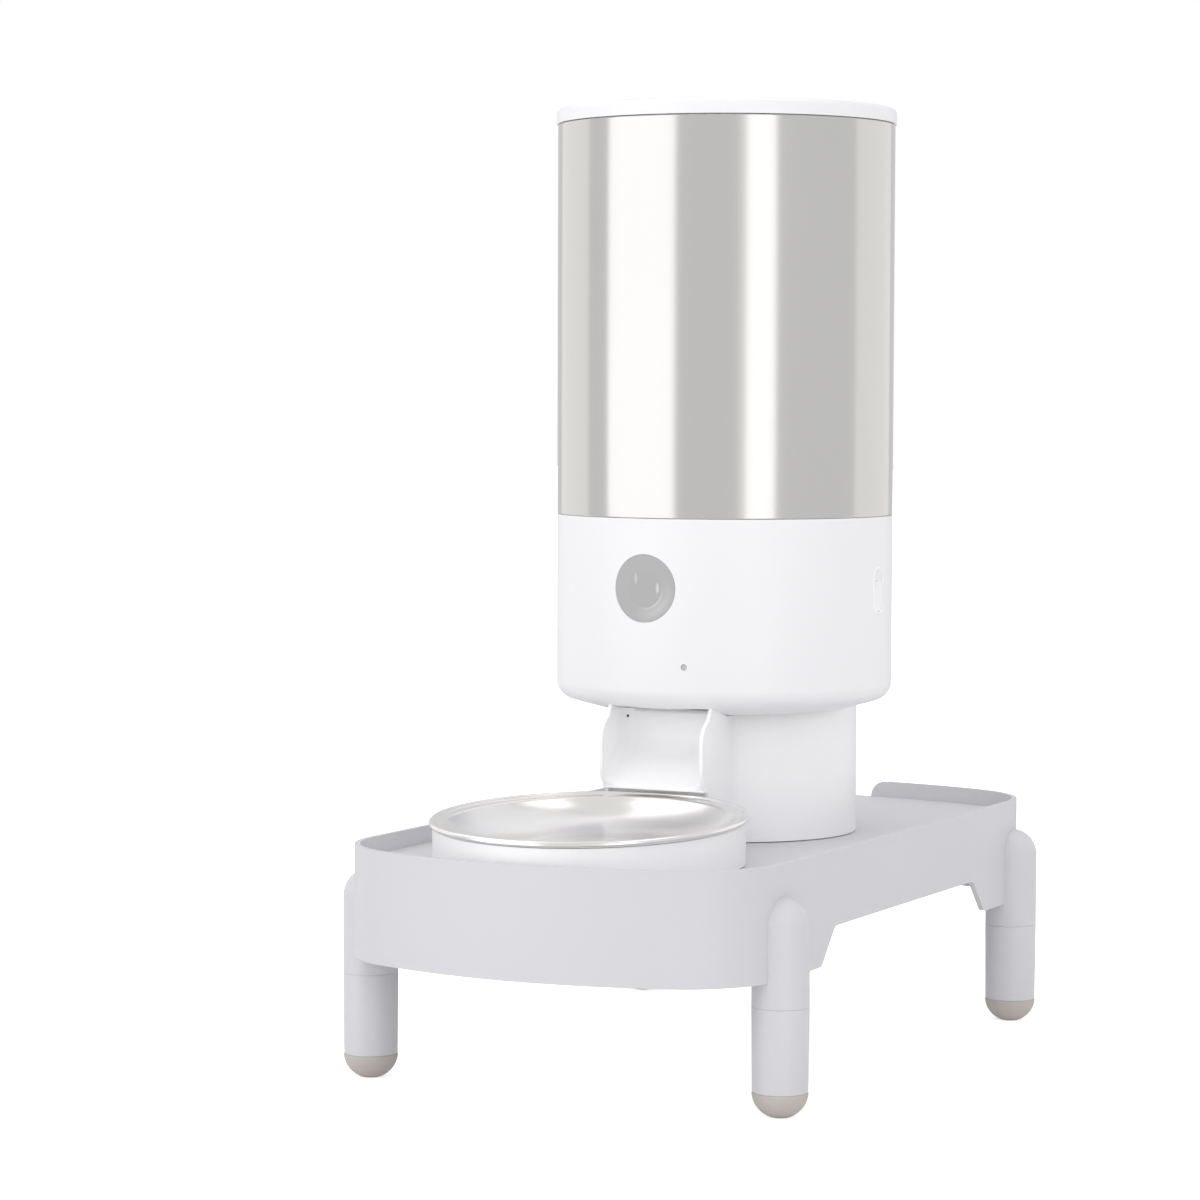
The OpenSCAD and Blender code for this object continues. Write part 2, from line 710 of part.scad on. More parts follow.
// A straight-sided duct between two rectangles at different heights
module duct(w, y0, y1, z0, top_y0, top_y1, z1) {
    rotate([90, 0, 90]) translate([0, 0, -w / 2]) linear_extrude(w)
        polygon([[y0, z0], [y1, z0], [top_y1, z1], [top_y0, z1]]);
}

module duct_bore() {
    duct(outlet_w - 2 * chamber_wall, outlet_y0 + 2.5, outlet_y1 - 2, duct_z - eps,
        duct_top_y0, duct_top_y1, chamber_floor_z + eps);
}

module metering_chamber() {
    boss_h = 4;
    color(WHITE) at_feeder() difference() {
        union() {
            translate([0, 0, deck_z - deck_t]) cylinder(r = drum_in_r - skin_gap, h = deck_t, $fn = 180);
            translate([0, 0, chamber_base_z])
                cylinder(r = chamber_r + chamber_wall, h = deck_z - chamber_base_z, $fn = 180);
            translate([0, 0, chamber_base_z - boss_h]) cylinder(d = shaft_d + 14, h = boss_h + eps, $fn = 48);
        }
        translate([0, 0, chamber_floor_z]) cylinder(r = chamber_r, h = chamber_h + eps, $fn = 180);
        duct_bore();
        translate([0, 0, chamber_base_z - boss_h - eps]) cylinder(r = bush_r + skin_gap, h = 20, $fn = 48);
        for (a = deck_screw_angles) rotate(a) translate([deck_screw_r, 0, deck_z - deck_t - eps])
            cylinder(d = 3.4, h = deck_t + 2 * eps, $fn = 24);
    }
}

// Guides a portion from the chamber's floor down to the chute
module drop_duct() {
    color(WHITE) at_feeder() difference() {
        duct(outlet_w, outlet_y0 + 0.5, outlet_y1, duct_z,
            duct_top_y0 - chamber_wall, duct_top_y1 + chamber_wall, chamber_base_z);
        duct_bore();
    }
}

// Keeps the food above from falling straight through the outlet
module chamber_baffle() {
    half = 38;
    reach = chamber_r - skin_gap;
    color(WHITE) at_feeder() translate([0, 0, baffle_z]) linear_extrude(baffle_t)
        polygon(concat(arc_points([0, 0], reach, 270 - half, 270 + half, 24),
            arc_points([0, 0], hub_d / 2 + 2, 270 + half, 270 - half, 12)));
}

module chamber_screws() {
    color(STEEL) at_feeder()
        for (a = deck_screw_angles) rotate(a) translate([deck_screw_r, 0, deck_z + 1.6]) rotate([180, 0, 0])
            pan_screw(2.8, 1.8, 6, 1.5);
}

module shaft_bush() {
    color("#c9a227") at_feeder()
        tube(bush_r, shaft_d / 2 + running_gap, chamber_floor_z - deck_t - 4, chamber_floor_z - 0.2, 48);
}

// ---- rotor and gears -----------------------------------------------------------

module metering_rotor() {
    color(TAUPE) at_feeder() difference() {
        union() {
            translate([0, 0, rotor_z]) cylinder(d = hub_d, h = vane_h, $fn = 64);
            for (i = [0 : vane_count - 1]) rotate(360 / vane_count * (i + 0.5))
                translate([0, -vane_t / 2, rotor_z]) intersection() {
                    cube([rotor_r, vane_t, vane_h]);
                    translate([0, vane_t / 2, -eps]) cylinder(r = rotor_r, h = vane_h + 2 * eps, $fn = 180);
                }
        }
        translate([0, 0, rotor_z - eps]) cylinder(r = shaft_d / 2 + skin_gap, h = vane_h + 2 * eps, $fn = 48);
    }
}

module rotor_shaft() {
    top_z = rotor_z + vane_h + 14;
    color(STEEL) at_feeder() translate([0, 0, bearing_z + seat_gap])
        cylinder(d = shaft_d, h = top_z - bearing_z - seat_gap, $fn = 48);
}

// A hub on the shaft's end with a bent finger that keeps the food loose
module stirrer() {
    base_z = rotor_z + vane_h + skin_gap;
    reach = throat_d / 2 - 14;
    color(WHITE) at_feeder() difference() {
        union() {
            translate([0, 0, base_z]) cylinder(d = 18, h = 16, $fn = 48);
            translate([0, 0, base_z + 16]) sphere(d = 18, $fn = 48);
            for (a = [30, 210]) rotate(a) translate([0, 0, base_z + 9]) rotate([0, 78, 0])
                cylinder(d = 5, h = reach, $fn = 32);
        }
        translate([0, 0, base_z - eps]) cylinder(r = shaft_d / 2 + skin_gap, h = 14.5 + eps, $fn = 48);
    }
}

// Gear outline with one tooth centred on angle 0; each tooth has straight flanks
module gear_outline(teeth) {
    r = gear_module * teeth / 2;
    pitch = 360 / teeth;
    tooth = [[-0.34, -1.15], [-0.235, 0], [-0.12, 0.9], [0.12, 0.9], [0.235, 0], [0.34, -1.15]];
    polygon([for (i = [0 : teeth - 1]) for (p = tooth)
        let (t = pitch * (i + p[0]), q = r + p[1] * gear_module) [q * cos(t), q * sin(t)]]);
}

module drive_gear() {
    color(WHITE) at_feeder() translate([0, 0, gear_z]) difference() {
        linear_extrude(gear_w) difference() {
            rotate(90) gear_outline(drive_teeth);
            circle(r = shaft_d / 2 + skin_gap, $fn = 48);
            for (a = [0 : 60 : 300]) rotate(a)
                translate([drive_r * 0.6, 0]) circle(d = drive_r * 0.3, $fn = 32);
        }
        translate([0, 0, gear_w - 1.5]) difference() {
            cylinder(r = drive_r - 3, h = 2, $fn = 64);
            cylinder(r = shaft_d / 2 + 3, h = 2, $fn = 48);
        }
    }
}

module motor_pinion() {
    color(WHITE) at_feeder() translate([0, gear_centres, gear_z]) linear_extrude(gear_w) difference() {
        rotate(270 + 180 / pinion_teeth) gear_outline(pinion_teeth);
        circle(r = motor_shaft_d / 2 + skin_gap, $fn = 48);
    }
}

module motor_shaft() {
    color(STEEL) at_feeder() translate([0, gear_centres, gearbox_top_z - 6])
        cylinder(d = motor_shaft_d, h = gear_z + gear_w - gearbox_top_z + 7, $fn = 48);
}

module gearbox() {
    color(STEEL) at_feeder() difference() {
        translate([0, gearbox_y, drum_floor_z]) cylinder(d = gearbox_d, h = gearbox_h, $fn = 96);
        translate([0, gear_centres, gearbox_top_z - 7])
            cylinder(r = motor_shaft_d / 2 + running_gap, h = 8, $fn = 48);
        for (s = [-1, 1]) translate([s * gearbox_screw_x, gearbox_y + 6, drum_floor_z - eps])
            cylinder(d = 3.2, h = 6, $fn = 24);
    }
}

gearbox_screw_x = 13.5;

module gearbox_screws() {
    color(STEEL) at_feeder() for (s = [-1, 1])
        translate([s * gearbox_screw_x, gearbox_y + 6, drum_floor_z + 0.2])
            cylinder(d = 2.8, h = 5, $fn = 24);
}

module drive_motor() {
    color(STEEL) at_feeder() translate([0, gearbox_y, drum_floor_z - motor_h]) {
        cylinder(d = motor_d, h = motor_h, $fn = 96);
        translate([0, 0, -2]) cylinder(d = 10, h = 2, $fn = 32);
    }
}

// ---- electronics ---------------------------------------------------------------

board_z = drum_floor_z + 6;
board_t = 1.6;

module circuit_board() {
    color(BOARD) at_feeder() translate([board_at.x, board_at.y, board_z])
        linear_extrude(board_t) difference() {
            square(board_size, center = true);
            for (x = [-1, 1]) for (y = [-1, 1])
                translate([x * (board_size.x / 2 - 4), y * (board_size.y / 2 - 4)]) circle(d = 3, $fn = 24);
        }
}

module board_connectors() {
    color(DARK) at_feeder() translate([board_at.x, board_at.y, board_z + board_t]) {
        translate([-9, -9, 0]) cube([18, 18, 2.5]);
        for (y = [-20, 16]) translate([8, y, 0]) cube([10, 8, 6]);
        translate([-18, 14, 0]) cylinder(d = 8, h = 10, $fn = 32);
    }
}

module speaker() {
    color(DARK) at_feeder() translate([speaker_at.x, speaker_at.y, drum_floor_z]) {
        cylinder(d = speaker_d, h = 3, $fn = 64);
        translate([0, 0, 3]) cylinder(d = speaker_d * 0.6, h = 5, $fn = 48);
    }
}

camera_z = drum_z + camera_rise;

module camera_axis() {
    at_feeder() rotate(camera_angle) translate([0, 0, camera_z]) rotate([90, 0, 0]) children();
}

// The window follows the drum's curve
module camera_window() {
    color(DARK, 0.6) intersection() {
        camera_axis() translate([0, 0, drum_r - 14]) cylinder(d = window_d, h = 15, $fn = 96);
        at_feeder() tube(drum_r - 0.1, drum_r - 2.1, camera_z - window_d, camera_z + window_d, 180);
    }
}

module camera_housing() {
    depth = 24;
    color(DARK) difference() {
        camera_axis() translate([0, 0, drum_r - depth]) difference() {
            cylinder(d = window_d, h = depth, $fn = 96);
            translate([0, 0, 2.5]) cylinder(d = window_d - 5, h = depth, $fn = 96);
            translate([0, 0, -eps]) cylinder(d = 14, h = 4, $fn = 48);
        }
        at_feeder() tube(drum_r + 10, drum_r - 2.3, camera_z - window_d, camera_z + window_d, 180);
    }
}

module camera_lens() {
    back = drum_r - 22;
    color("#202022") camera_axis() translate([0, 0, back]) difference() {
        union() {
            translate([0, 0, -2]) cylinder(d = 13.6, h = 6, $fn = 48);
            translate([0, 0, 3]) cylinder(d = 21, h = 11, $fn = 64);
        }
        translate([0, 0, 14 - 2.5]) cylinder(d1 = 11, d2 = 17, h = 2.6, $fn = 64);
        translate([0, 0, 9]) cylinder(d = 9, h = 4, $fn = 48);
    }
}

module infrared_leds() {
    color("#4a1420") camera_axis() for (s = [-1, 1])
        translate([s * 13.2, 0, drum_r - 21.4]) {
            cylinder(d = 4.6, h = 6, $fn = 32);
            translate([0, 0, 6]) sphere(d = 4.6, $fn = 32);
        }
}

module camera_board() {
    color(BOARD) camera_axis() translate([0, 0, drum_r - 26]) linear_extrude(1.6) difference() {
        square([30, 26], center = true);
        circle(d = 14, $fn = 48);
    }
}

module microphone() {
    color(DARK) at_feeder() rotate(mic_angle) translate([0, 0, drum_z + mic_rise]) rotate([90, 0, 0]) {
        translate([0, 0, drum_in_r - 5]) cylinder(d = 8, h = 4.7, $fn = 48);
        translate([0, 0, drum_in_r - 1]) cylinder(d = mic_d - 2 * skin_gap, h = drum_wall, $fn = 32);
    }
}

// ---- hopper lock ----------------------------------------------------------------

lock_floor = drum_r - 4.5;     // distance of the recess's floor from the axis
lock_rim = 1.4;
knob_h = lock_h - 2 * lock_rim - lock_travel - 2 * seat_gap;

module lock_guide() {
    color(WHITE) at_feeder() difference() {
        intersection() {
            lock_hole(lock_w, lock_h, lock_floor - 1.5, drum_r + eps);
            translate([0, 0, lock_z - lock_h]) cylinder(r = drum_r - 0.1, h = 2 * lock_h, $fn = 180);
        }
        lock_hole(lock_w - 2 * lock_rim, lock_h - 2 * lock_rim, lock_floor, drum_r + 1);
        // slot for the slider's stem
        lock_hole(4.6, lock_travel + 4.6 + 1, lock_floor - 2, lock_floor + 1);
    }
}

module lock_slider() {
    at_bottom = lock_z - lock_travel / 2;
    color(WHITE) at_feeder() {
        translate([lock_floor + seat_gap, 0, at_bottom]) rotate([90, 0, 90])
            linear_extrude(drum_r - 0.8 - lock_floor) pill(lock_w - 2 * lock_rim - 2 * seat_gap, knob_h);
        translate([lock_floor - 4, 0, at_bottom]) rotate([0, 90, 0]) cylinder(d = 4, h = 5, $fn = 32);
        translate([lock_floor - 4.5, 0, at_bottom]) rotate([90, 0, 90]) linear_extrude(2.5) pill(8, 12);
    }
}

// ---- hopper and lid ---------------------------------------------------------------

module hopper_tank() {
    throat_r = throat_d / 2;
    cone_z = spigot_z + 3;
    slope = (tank_in_r - throat_r) / funnel_h;
    skirt_in_r = hopper_spigot_r - tank_wall;
    color(WHITE) at_feeder() rotate_extrude($fn = 180) polygon([
        [throat_r, spigot_z], [throat_r, cone_z],
        [tank_in_r, cone_z + funnel_h], [tank_in_r, tank_top_z], [tank_r, tank_top_z],
        [tank_r, sleeve_z], [drum_r, sleeve_z], [drum_r, drum_top_z],
        [hopper_spigot_r, drum_top_z], [hopper_spigot_r, spigot_z], [skirt_in_r, spigot_z],
        [skirt_in_r, cone_z + (skirt_in_r - throat_r) / slope - 3.4],
        [throat_r + tank_wall, cone_z + tank_wall / slope - 3.4], [throat_r + tank_wall, spigot_z],
    ]);
}

module hopper_sleeve() {
    color(STEEL) at_feeder() tube(drum_r, sleeve_in_r, sleeve_z, sleeve_top_z, 256);
}

lid_top_in_z = lid_z + lid_t - lid_wall;

module lid_cover() {
    r = lid_d / 2;
    color(WHITE) at_feeder() rotate_extrude($fn = 180) {
        translate([0, lid_top_in_z]) square([r - lid_edge_r, lid_wall]);
        difference() {
            union() {
                translate([r - lid_edge_r, lid_z + lid_t - lid_edge_r]) circle(r = lid_edge_r, $fn = 64);
                translate([r - 2 * lid_wall, lid_z]) square([2 * lid_wall, lid_t - lid_edge_r]);
            }
            translate([0, lid_z - eps]) square([r - lid_wall - 1, lid_top_in_z - lid_z + eps]);
        }
    }
}

module lid_plug() {
    groove_r = plug_r - seal_t / 2;
    color(WHITE) at_feeder() difference() {
        tube(plug_r, plug_r - lid_wall, lid_z - plug_h, lid_top_in_z, 180);
        translate([0, 0, lid_z - plug_h / 2 - 0.1]) difference() {
            cylinder(r = plug_r + 1, h = seal_t + 0.2, $fn = 180);
            translate([0, 0, -1]) cylinder(r = groove_r - 0.2, h = seal_t + 2, $fn = 180);
        }
    }
}

module lid_seal() {
    color(TAUPE) at_feeder()
        tube(tank_in_r - seat_gap, plug_r - seal_t / 2, lid_z - plug_h / 2, lid_z - plug_h / 2 + seal_t, 180);
}

desiccant_z = lid_top_in_z - desiccant_h;
grille_t = 1.5;

module desiccant_box() {
    r = desiccant_d / 2;
    color(WHITE) at_feeder() translate([0, 0, desiccant_z]) difference() {
        cylinder(r = r, h = desiccant_h, $fn = 96);
        translate([0, 0, -eps]) cylinder(r = r - 4, h = desiccant_h - 2 + eps, $fn = 96);
        translate([0, 0, -eps]) cylinder(r = r - 2, h = grille_t + skin_gap + eps, $fn = 96);
    }
}

module desiccant_grille() {
    r = desiccant_d / 2 - 2 - skin_gap;
    pitch = 6;
    slots_r = r - 5;
    color(WHITE) at_feeder() translate([0, 0, desiccant_z]) linear_extrude(grille_t) difference() {
        circle(r = r, $fn = 96);
        for (i = [-3 : 3]) let (x = i * pitch)
            translate([x, 0]) square([0.4 * pitch, 2 * sqrt(pow(slots_r, 2) - pow(x, 2)) - 4], center = true);
    }
}

stand_tray();
leg_front_left();
leg_front_right();
leg_rear_left();
leg_rear_right();
foot_front_left();
foot_front_right();
foot_rear_left();
foot_rear_right();
bowl_holder();
food_bowl();
pedestal();
pedestal_cover();
base_pads();
cover_screws();
power_socket();
food_chute();
drum_housing();
metering_chamber();
drop_duct();
chamber_baffle();
chamber_screws();
shaft_bush();
metering_rotor();
rotor_shaft();
stirrer();
drive_gear();
motor_pinion();
motor_shaft();
gearbox();
gearbox_screws();
drive_motor();
circuit_board();
board_connectors();
speaker();
camera_window();
camera_housing();
camera_lens();
infrared_leds();
camera_board();
microphone();
lock_guide();
lock_slider();
hopper_tank();
hopper_sleeve();
lid_cover();
lid_plug();
lid_seal();
desiccant_box();
desiccant_grille();
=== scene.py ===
"""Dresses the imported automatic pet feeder: materials, finer shells, studio and camera."""
import json
from math import asin, atan2, cos, degrees, pi, radians, sin, sqrt, tan

import bmesh
import bpy
from mathutils import Matrix, Vector


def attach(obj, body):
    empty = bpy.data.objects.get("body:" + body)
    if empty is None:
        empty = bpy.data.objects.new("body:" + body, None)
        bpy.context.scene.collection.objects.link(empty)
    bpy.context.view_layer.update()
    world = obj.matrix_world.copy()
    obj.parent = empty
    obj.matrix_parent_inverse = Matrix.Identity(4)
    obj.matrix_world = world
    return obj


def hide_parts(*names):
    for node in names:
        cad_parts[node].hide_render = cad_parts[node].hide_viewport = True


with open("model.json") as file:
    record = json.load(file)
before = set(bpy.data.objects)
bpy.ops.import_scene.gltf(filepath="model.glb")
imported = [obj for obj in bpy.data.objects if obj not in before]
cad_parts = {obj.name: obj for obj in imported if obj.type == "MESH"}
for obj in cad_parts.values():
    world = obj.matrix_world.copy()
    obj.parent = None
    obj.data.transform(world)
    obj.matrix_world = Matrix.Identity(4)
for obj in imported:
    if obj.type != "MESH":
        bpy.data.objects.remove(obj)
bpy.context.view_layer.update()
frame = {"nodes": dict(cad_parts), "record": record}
nodes = frame["nodes"]
scene = bpy.context.scene

MM = 0.001
NEUTRAL = (1.0, 1.0, 1.0)


def direction(turn, lift):
    """The unit vector at an angle from the front towards the right, and at an angle above the floor."""
    return Vector((sin(turn) * cos(lift), -cos(turn) * cos(lift), sin(lift)))


# ---- camera ------------------------------------------------------------------

CAMERA_PLACE = (0.8885, -1.8896, 0.3718)
CAMERA_AZIMUTH = radians(26.80)
CAMERA_PITCH = radians(3.257)
CAMERA_ROLL = radians(0.18)
CAMERA_LENS = 111.61
CAMERA_SENSOR = 36.0
CAMERA_FAR = 50


def make_camera():
    """A long lens that looks slightly down at the object from its front right."""
    back = direction(CAMERA_AZIMUTH, CAMERA_PITCH)
    right = Vector((cos(CAMERA_AZIMUTH), sin(CAMERA_AZIMUTH), 0.0))
    up = back.cross(right)
    right_rolled = right * cos(CAMERA_ROLL) + up * sin(CAMERA_ROLL)
    up_rolled = up * cos(CAMERA_ROLL) - right * sin(CAMERA_ROLL)
    data = bpy.data.cameras.new("camera")
    data.lens = CAMERA_LENS
    data.sensor_width = CAMERA_SENSOR
    data.clip_end = CAMERA_FAR
    camera = bpy.data.objects.new("camera", data)
    rotation = Matrix((right_rolled, up_rolled, back)).transposed().to_4x4()
    camera.matrix_world = Matrix.Translation(CAMERA_PLACE) @ rotation
    scene.collection.objects.link(camera)
    scene.camera = camera


make_camera()


# ---- materials ---------------------------------------------------------------

def new_material(name):
    material = bpy.data.materials.new(name)
    material.use_nodes = True
    tree = material.node_tree
    return material, tree, tree.nodes["Principled BSDF"]


def noise(tree, scale, detail=4.0, roughness=0.5, stretch=(1.0, 1.0, 1.0)):
    """A noise texture in object space, in cycles per metre, stretched along the axes."""
    place = tree.nodes.new("ShaderNodeTexCoord")
    mapping = tree.nodes.new("ShaderNodeMapping")
    mapping.inputs["Scale"].default_value = stretch
    texture = tree.nodes.new("ShaderNodeTexNoise")
    texture.inputs["Scale"].default_value = scale
    texture.inputs["Detail"].default_value = detail
    texture.inputs["Roughness"].default_value = roughness
    tree.links.new(place.outputs["Object"], mapping.inputs["Vector"])
    tree.links.new(mapping.outputs["Vector"], texture.inputs["Vector"])
    return texture.outputs["Fac"]


def ramp(tree, source, low, high):
    """Maps a 0 to 1 value to a range."""
    node = tree.nodes.new("ShaderNodeMapRange")
    node.inputs["To Min"].default_value = low
    node.inputs["To Max"].default_value = high
    tree.links.new(source, node.inputs["Value"])
    return node.outputs["Result"]


def tint(tree, source, first, second):
    """A colour that varies between two with a 0 to 1 value."""
    node = tree.nodes.new("ShaderNodeValToRGB")
    node.color_ramp.elements[0].position = 0.3
    node.color_ramp.elements[1].position = 0.7
    node.color_ramp.elements[0].color = (*first, 1.0)
    node.color_ramp.elements[1].color = (*second, 1.0)
    tree.links.new(source, node.inputs["Fac"])
    return node.outputs["Color"]


def bump(tree, bsdf, source, distance):
    node = tree.nodes.new("ShaderNodeBump")
    node.inputs["Distance"].default_value = distance
    node.inputs["Strength"].default_value = 1.0
    tree.links.new(source, node.inputs["Height"])
    tree.links.new(node.outputs["Normal"], bsdf.inputs["Normal"])


# drift is the scale of a slow change of tone and grain that of the fine texture, both in cycles
# per metre, and depth is the grain's height in metres
PLASTIC_DRIFT, PLASTIC_GRAIN, PLASTIC_DEPTH = 9.0, 1800.0, 0.00002
PLASTIC_SPREAD = 0.05
PLASTIC_IOR = 1.46
COAT_ROUGHNESS = 0.12
STEEL_DRIFT = 6.0
RUBBER_DRIFT, RUBBER_GRAIN, RUBBER_DEPTH = 60.0, 2600.0, 0.00004
RUBBER_ROUGHNESS = (0.62, 0.78)
RUBBER_SHEEN = 0.15


def plastic(name, colour, shade, roughness, coat=0.0):
    """Moulded plastic: a slow drift of tone, and a fine spark-eroded grain."""
    material, tree, bsdf = new_material(name)
    drift = noise(tree, PLASTIC_DRIFT, 3.0)
    tree.links.new(tint(tree, drift, colour, shade), bsdf.inputs["Base Color"])
    fine = noise(tree, PLASTIC_GRAIN, 2.0)
    rough = ramp(tree, fine, roughness - PLASTIC_SPREAD, roughness + PLASTIC_SPREAD)
    tree.links.new(rough, bsdf.inputs["Roughness"])
    bump(tree, bsdf, fine, PLASTIC_DEPTH)
    bsdf.inputs["Coat Weight"].default_value = coat
    bsdf.inputs["Coat Roughness"].default_value = COAT_ROUGHNESS
    bsdf.inputs["IOR"].default_value = PLASTIC_IOR
    return material


def steel(name, colour, shade, roughness, stretch=(1.0, 1.0, 1.0), scale=900.0, depth=0.000004,
          spread=0.045):
    """Metal whose roughness varies in fine lines, along the axes where stretch is smallest."""
    material, tree, bsdf = new_material(name)
    lines = noise(tree, scale, 6.0, 0.65, stretch)
    drift = noise(tree, STEEL_DRIFT, 2.0)
    tree.links.new(tint(tree, drift, colour, shade), bsdf.inputs["Base Color"])
    tree.links.new(ramp(tree, lines, roughness - spread, roughness + spread), bsdf.inputs["Roughness"])
    bump(tree, bsdf, lines, depth)
    bsdf.inputs["Metallic"].default_value = 1.0
    return material


def rubber(name, colour, shade):
    material, tree, bsdf = new_material(name)
    drift = noise(tree, RUBBER_DRIFT, 4.0)
    fine = noise(tree, RUBBER_GRAIN, 3.0)
    tree.links.new(tint(tree, drift, colour, shade), bsdf.inputs["Base Color"])
    tree.links.new(ramp(tree, fine, *RUBBER_ROUGHNESS), bsdf.inputs["Roughness"])
    bump(tree, bsdf, fine, RUBBER_DEPTH)
    bsdf.inputs["Sheen Weight"].default_value = RUBBER_SHEEN
    return material


def value(tree, operation, *operands, clamp=False):
    """A math node over sockets and numbers."""
    node = tree.nodes.new("ShaderNodeMath")
    node.operation = operation
    node.use_clamp = clamp
    for slot, operand in zip(node.inputs, operands):
        if isinstance(operand, (int, float)):
            slot.default_value = operand
        else:
            tree.links.new(operand, slot)
    return node.outputs[0]


# the camera's window seen from the front, in millimetres
WINDOW_X, WINDOW_Z = -4.47, 262.8
GLASS_TONE = 0.575
# within this radius the glass is darker by so much, where the lens is behind it
LENS_SEEN_R, LENS_DARKER = 11.0, 0.012
# painted highlight rings around the lens, light painted onto its bezel: radius, half width and how much
# lighter
PAINTED_RING_LIGHT = ((14.5, 4.0, 0.15), (11.2, 0.7, 0.26))
# the painted light on the rings is brightest to the lower right and fades with a power of the angle's
# cosine
PAINTED_LIGHT_RIGHT, PAINTED_LIGHT_DOWN, PAINTED_LIGHT_FADE = 0.62, 0.78, 3.0
# painted glints, highlights painted into the glass's colour: place, half width and height, and how much
# lighter
PAINTED_GLINTS = ((-5.1, 5.4, 1.3, 3.6, 0.20), (8.3, 0.3, 1.2, 3.6, 0.32))


def window_glass(name):
    """Smoked window: the lens shows faintly darker, and a bright ring and two glints are painted
    highlights in its colour.
    """
    material, tree, bsdf = new_material(name)
    place = tree.nodes.new("ShaderNodeTexCoord")
    split = tree.nodes.new("ShaderNodeSeparateXYZ")
    tree.links.new(place.outputs["Object"], split.inputs[0])

    def plus(first, second):
        return value(tree, "ADD", first, second)

    def minus(first, second, clamp=False):
        return value(tree, "SUBTRACT", first, second, clamp=clamp)

    def times(first, second):
        return value(tree, "MULTIPLY", first, second)

    def over(first, second):
        return value(tree, "DIVIDE", first, second)

    # millimetres from the window's middle, to the right and up
    x = value(tree, "MULTIPLY_ADD", split.outputs["X"], 1 / MM, -WINDOW_X)
    z = value(tree, "MULTIPLY_ADD", split.outputs["Z"], 1 / MM, -WINDOW_Z)
    radius = value(tree, "SQRT", plus(times(x, x), times(z, z)))

    def band(centre, half):
        """1 on a circle of the given radius, falling to 0 at half a width to either side."""
        return minus(1.0, over(value(tree, "ABSOLUTE", minus(radius, centre)), half), clamp=True)

    def spot(at_x, at_z, half_x, half_z):
        """1 in the middle of an ellipse, falling to 0 at its edge."""
        across, along = over(minus(x, at_x), half_x), over(minus(z, at_z), half_z)
        return minus(1.0, plus(times(across, across), times(along, along)), clamp=True)

    # painted light: the rings are lit more to the lower right, as if light fell from the upper left
    lean = over(minus(times(x, PAINTED_LIGHT_RIGHT), times(z, PAINTED_LIGHT_DOWN)), radius)
    painted_lit_side = value(tree, "POWER", value(tree, "MAXIMUM", lean, 0.0), PAINTED_LIGHT_FADE)
    tone = value(tree, "MULTIPLY_ADD", minus(LENS_SEEN_R, radius, clamp=True), -LENS_DARKER, GLASS_TONE)
    for centre, half, lighter in PAINTED_RING_LIGHT:
        tone = plus(tone, times(times(band(centre, half), painted_lit_side), lighter))
    # painted highlights: two glints lighten the glass's colour in small spots
    for *shape, lighter in PAINTED_GLINTS:
        tone = plus(tone, times(spot(*shape), lighter))
    grey = tree.nodes.new("ShaderNodeCombineColor")
    for channel in ("Red", "Green", "Blue"):
        tree.links.new(tone, grey.inputs[channel])
    tree.links.new(grey.outputs[0], bsdf.inputs["Base Color"])
    bsdf.inputs["Roughness"].default_value = 0.08
    bsdf.inputs["Transmission Weight"].default_value = 0.3
    bsdf.inputs["IOR"].default_value = 1.49
    return material


WHITE = plastic("white_shell", (0.862, 0.859, 0.874), (0.870, 0.867, 0.882), 0.34)
# painted light: a lighter copy of the white plastic, for the parts low down that get less light
WHITE_PAINTED_LIGHTER = plastic("white_painted_lighter", (0.968, 0.966, 0.974), (0.972, 0.970, 0.978), 0.36)
WHITE_INNER = plastic("white_inner", (0.86, 0.86, 0.86), (0.88, 0.88, 0.88), 0.5)
STAND = plastic("stand_plastic", (0.628, 0.626, 0.647), (0.640, 0.637, 0.659), 0.42)
HOPPER_STEEL = steel("hopper_steel", (0.635, 0.628, 0.618), (0.650, 0.642, 0.630), 0.15,
                     stretch=(1.0, 1.0, 60.0), scale=40.0)
BOWL_STEEL = steel("bowl_steel", (0.85, 0.842, 0.83), (0.865, 0.856, 0.844), 0.21,
                   scale=40.0, depth=0.0, spread=0.008)
SCREW_STEEL = steel("screw_steel", (0.50, 0.50, 0.51), (0.55, 0.55, 0.56), 0.3)
MOTOR_METAL = steel("motor_metal", (0.45, 0.46, 0.48), (0.52, 0.53, 0.55), 0.35)
BRASS = steel("brass", (0.72, 0.52, 0.24), (0.76, 0.57, 0.28), 0.32)
FOOT_RUBBER = rubber("foot_rubber", (0.500, 0.456, 0.423), (0.520, 0.476, 0.443))
ROTOR_RUBBER = rubber("rotor_rubber", (0.50, 0.48, 0.46), (0.54, 0.52, 0.50))
SEAL_RUBBER = rubber("seal_rubber", (0.70, 0.69, 0.67), (0.74, 0.73, 0.71))
DARK = plastic("dark_plastic", (0.020, 0.020, 0.022), (0.028, 0.028, 0.030), 0.4)
LENS = plastic("lens_black", (0.012, 0.012, 0.014), (0.018, 0.018, 0.020), 0.12, coat=1.0)
LED = plastic("led_red", (0.09, 0.012, 0.018), (0.12, 0.016, 0.024), 0.1, coat=1.0)
BOARD = plastic("board_green", (0.03, 0.14, 0.06), (0.04, 0.17, 0.08), 0.35)
MIC = plastic("mic_grey", (0.57, 0.57, 0.58), (0.60, 0.60, 0.61), 0.5)
LOCK = plastic("lock_grey", (0.88, 0.88, 0.89), (0.90, 0.90, 0.91), 0.35)
WINDOW = window_glass("window_glass")

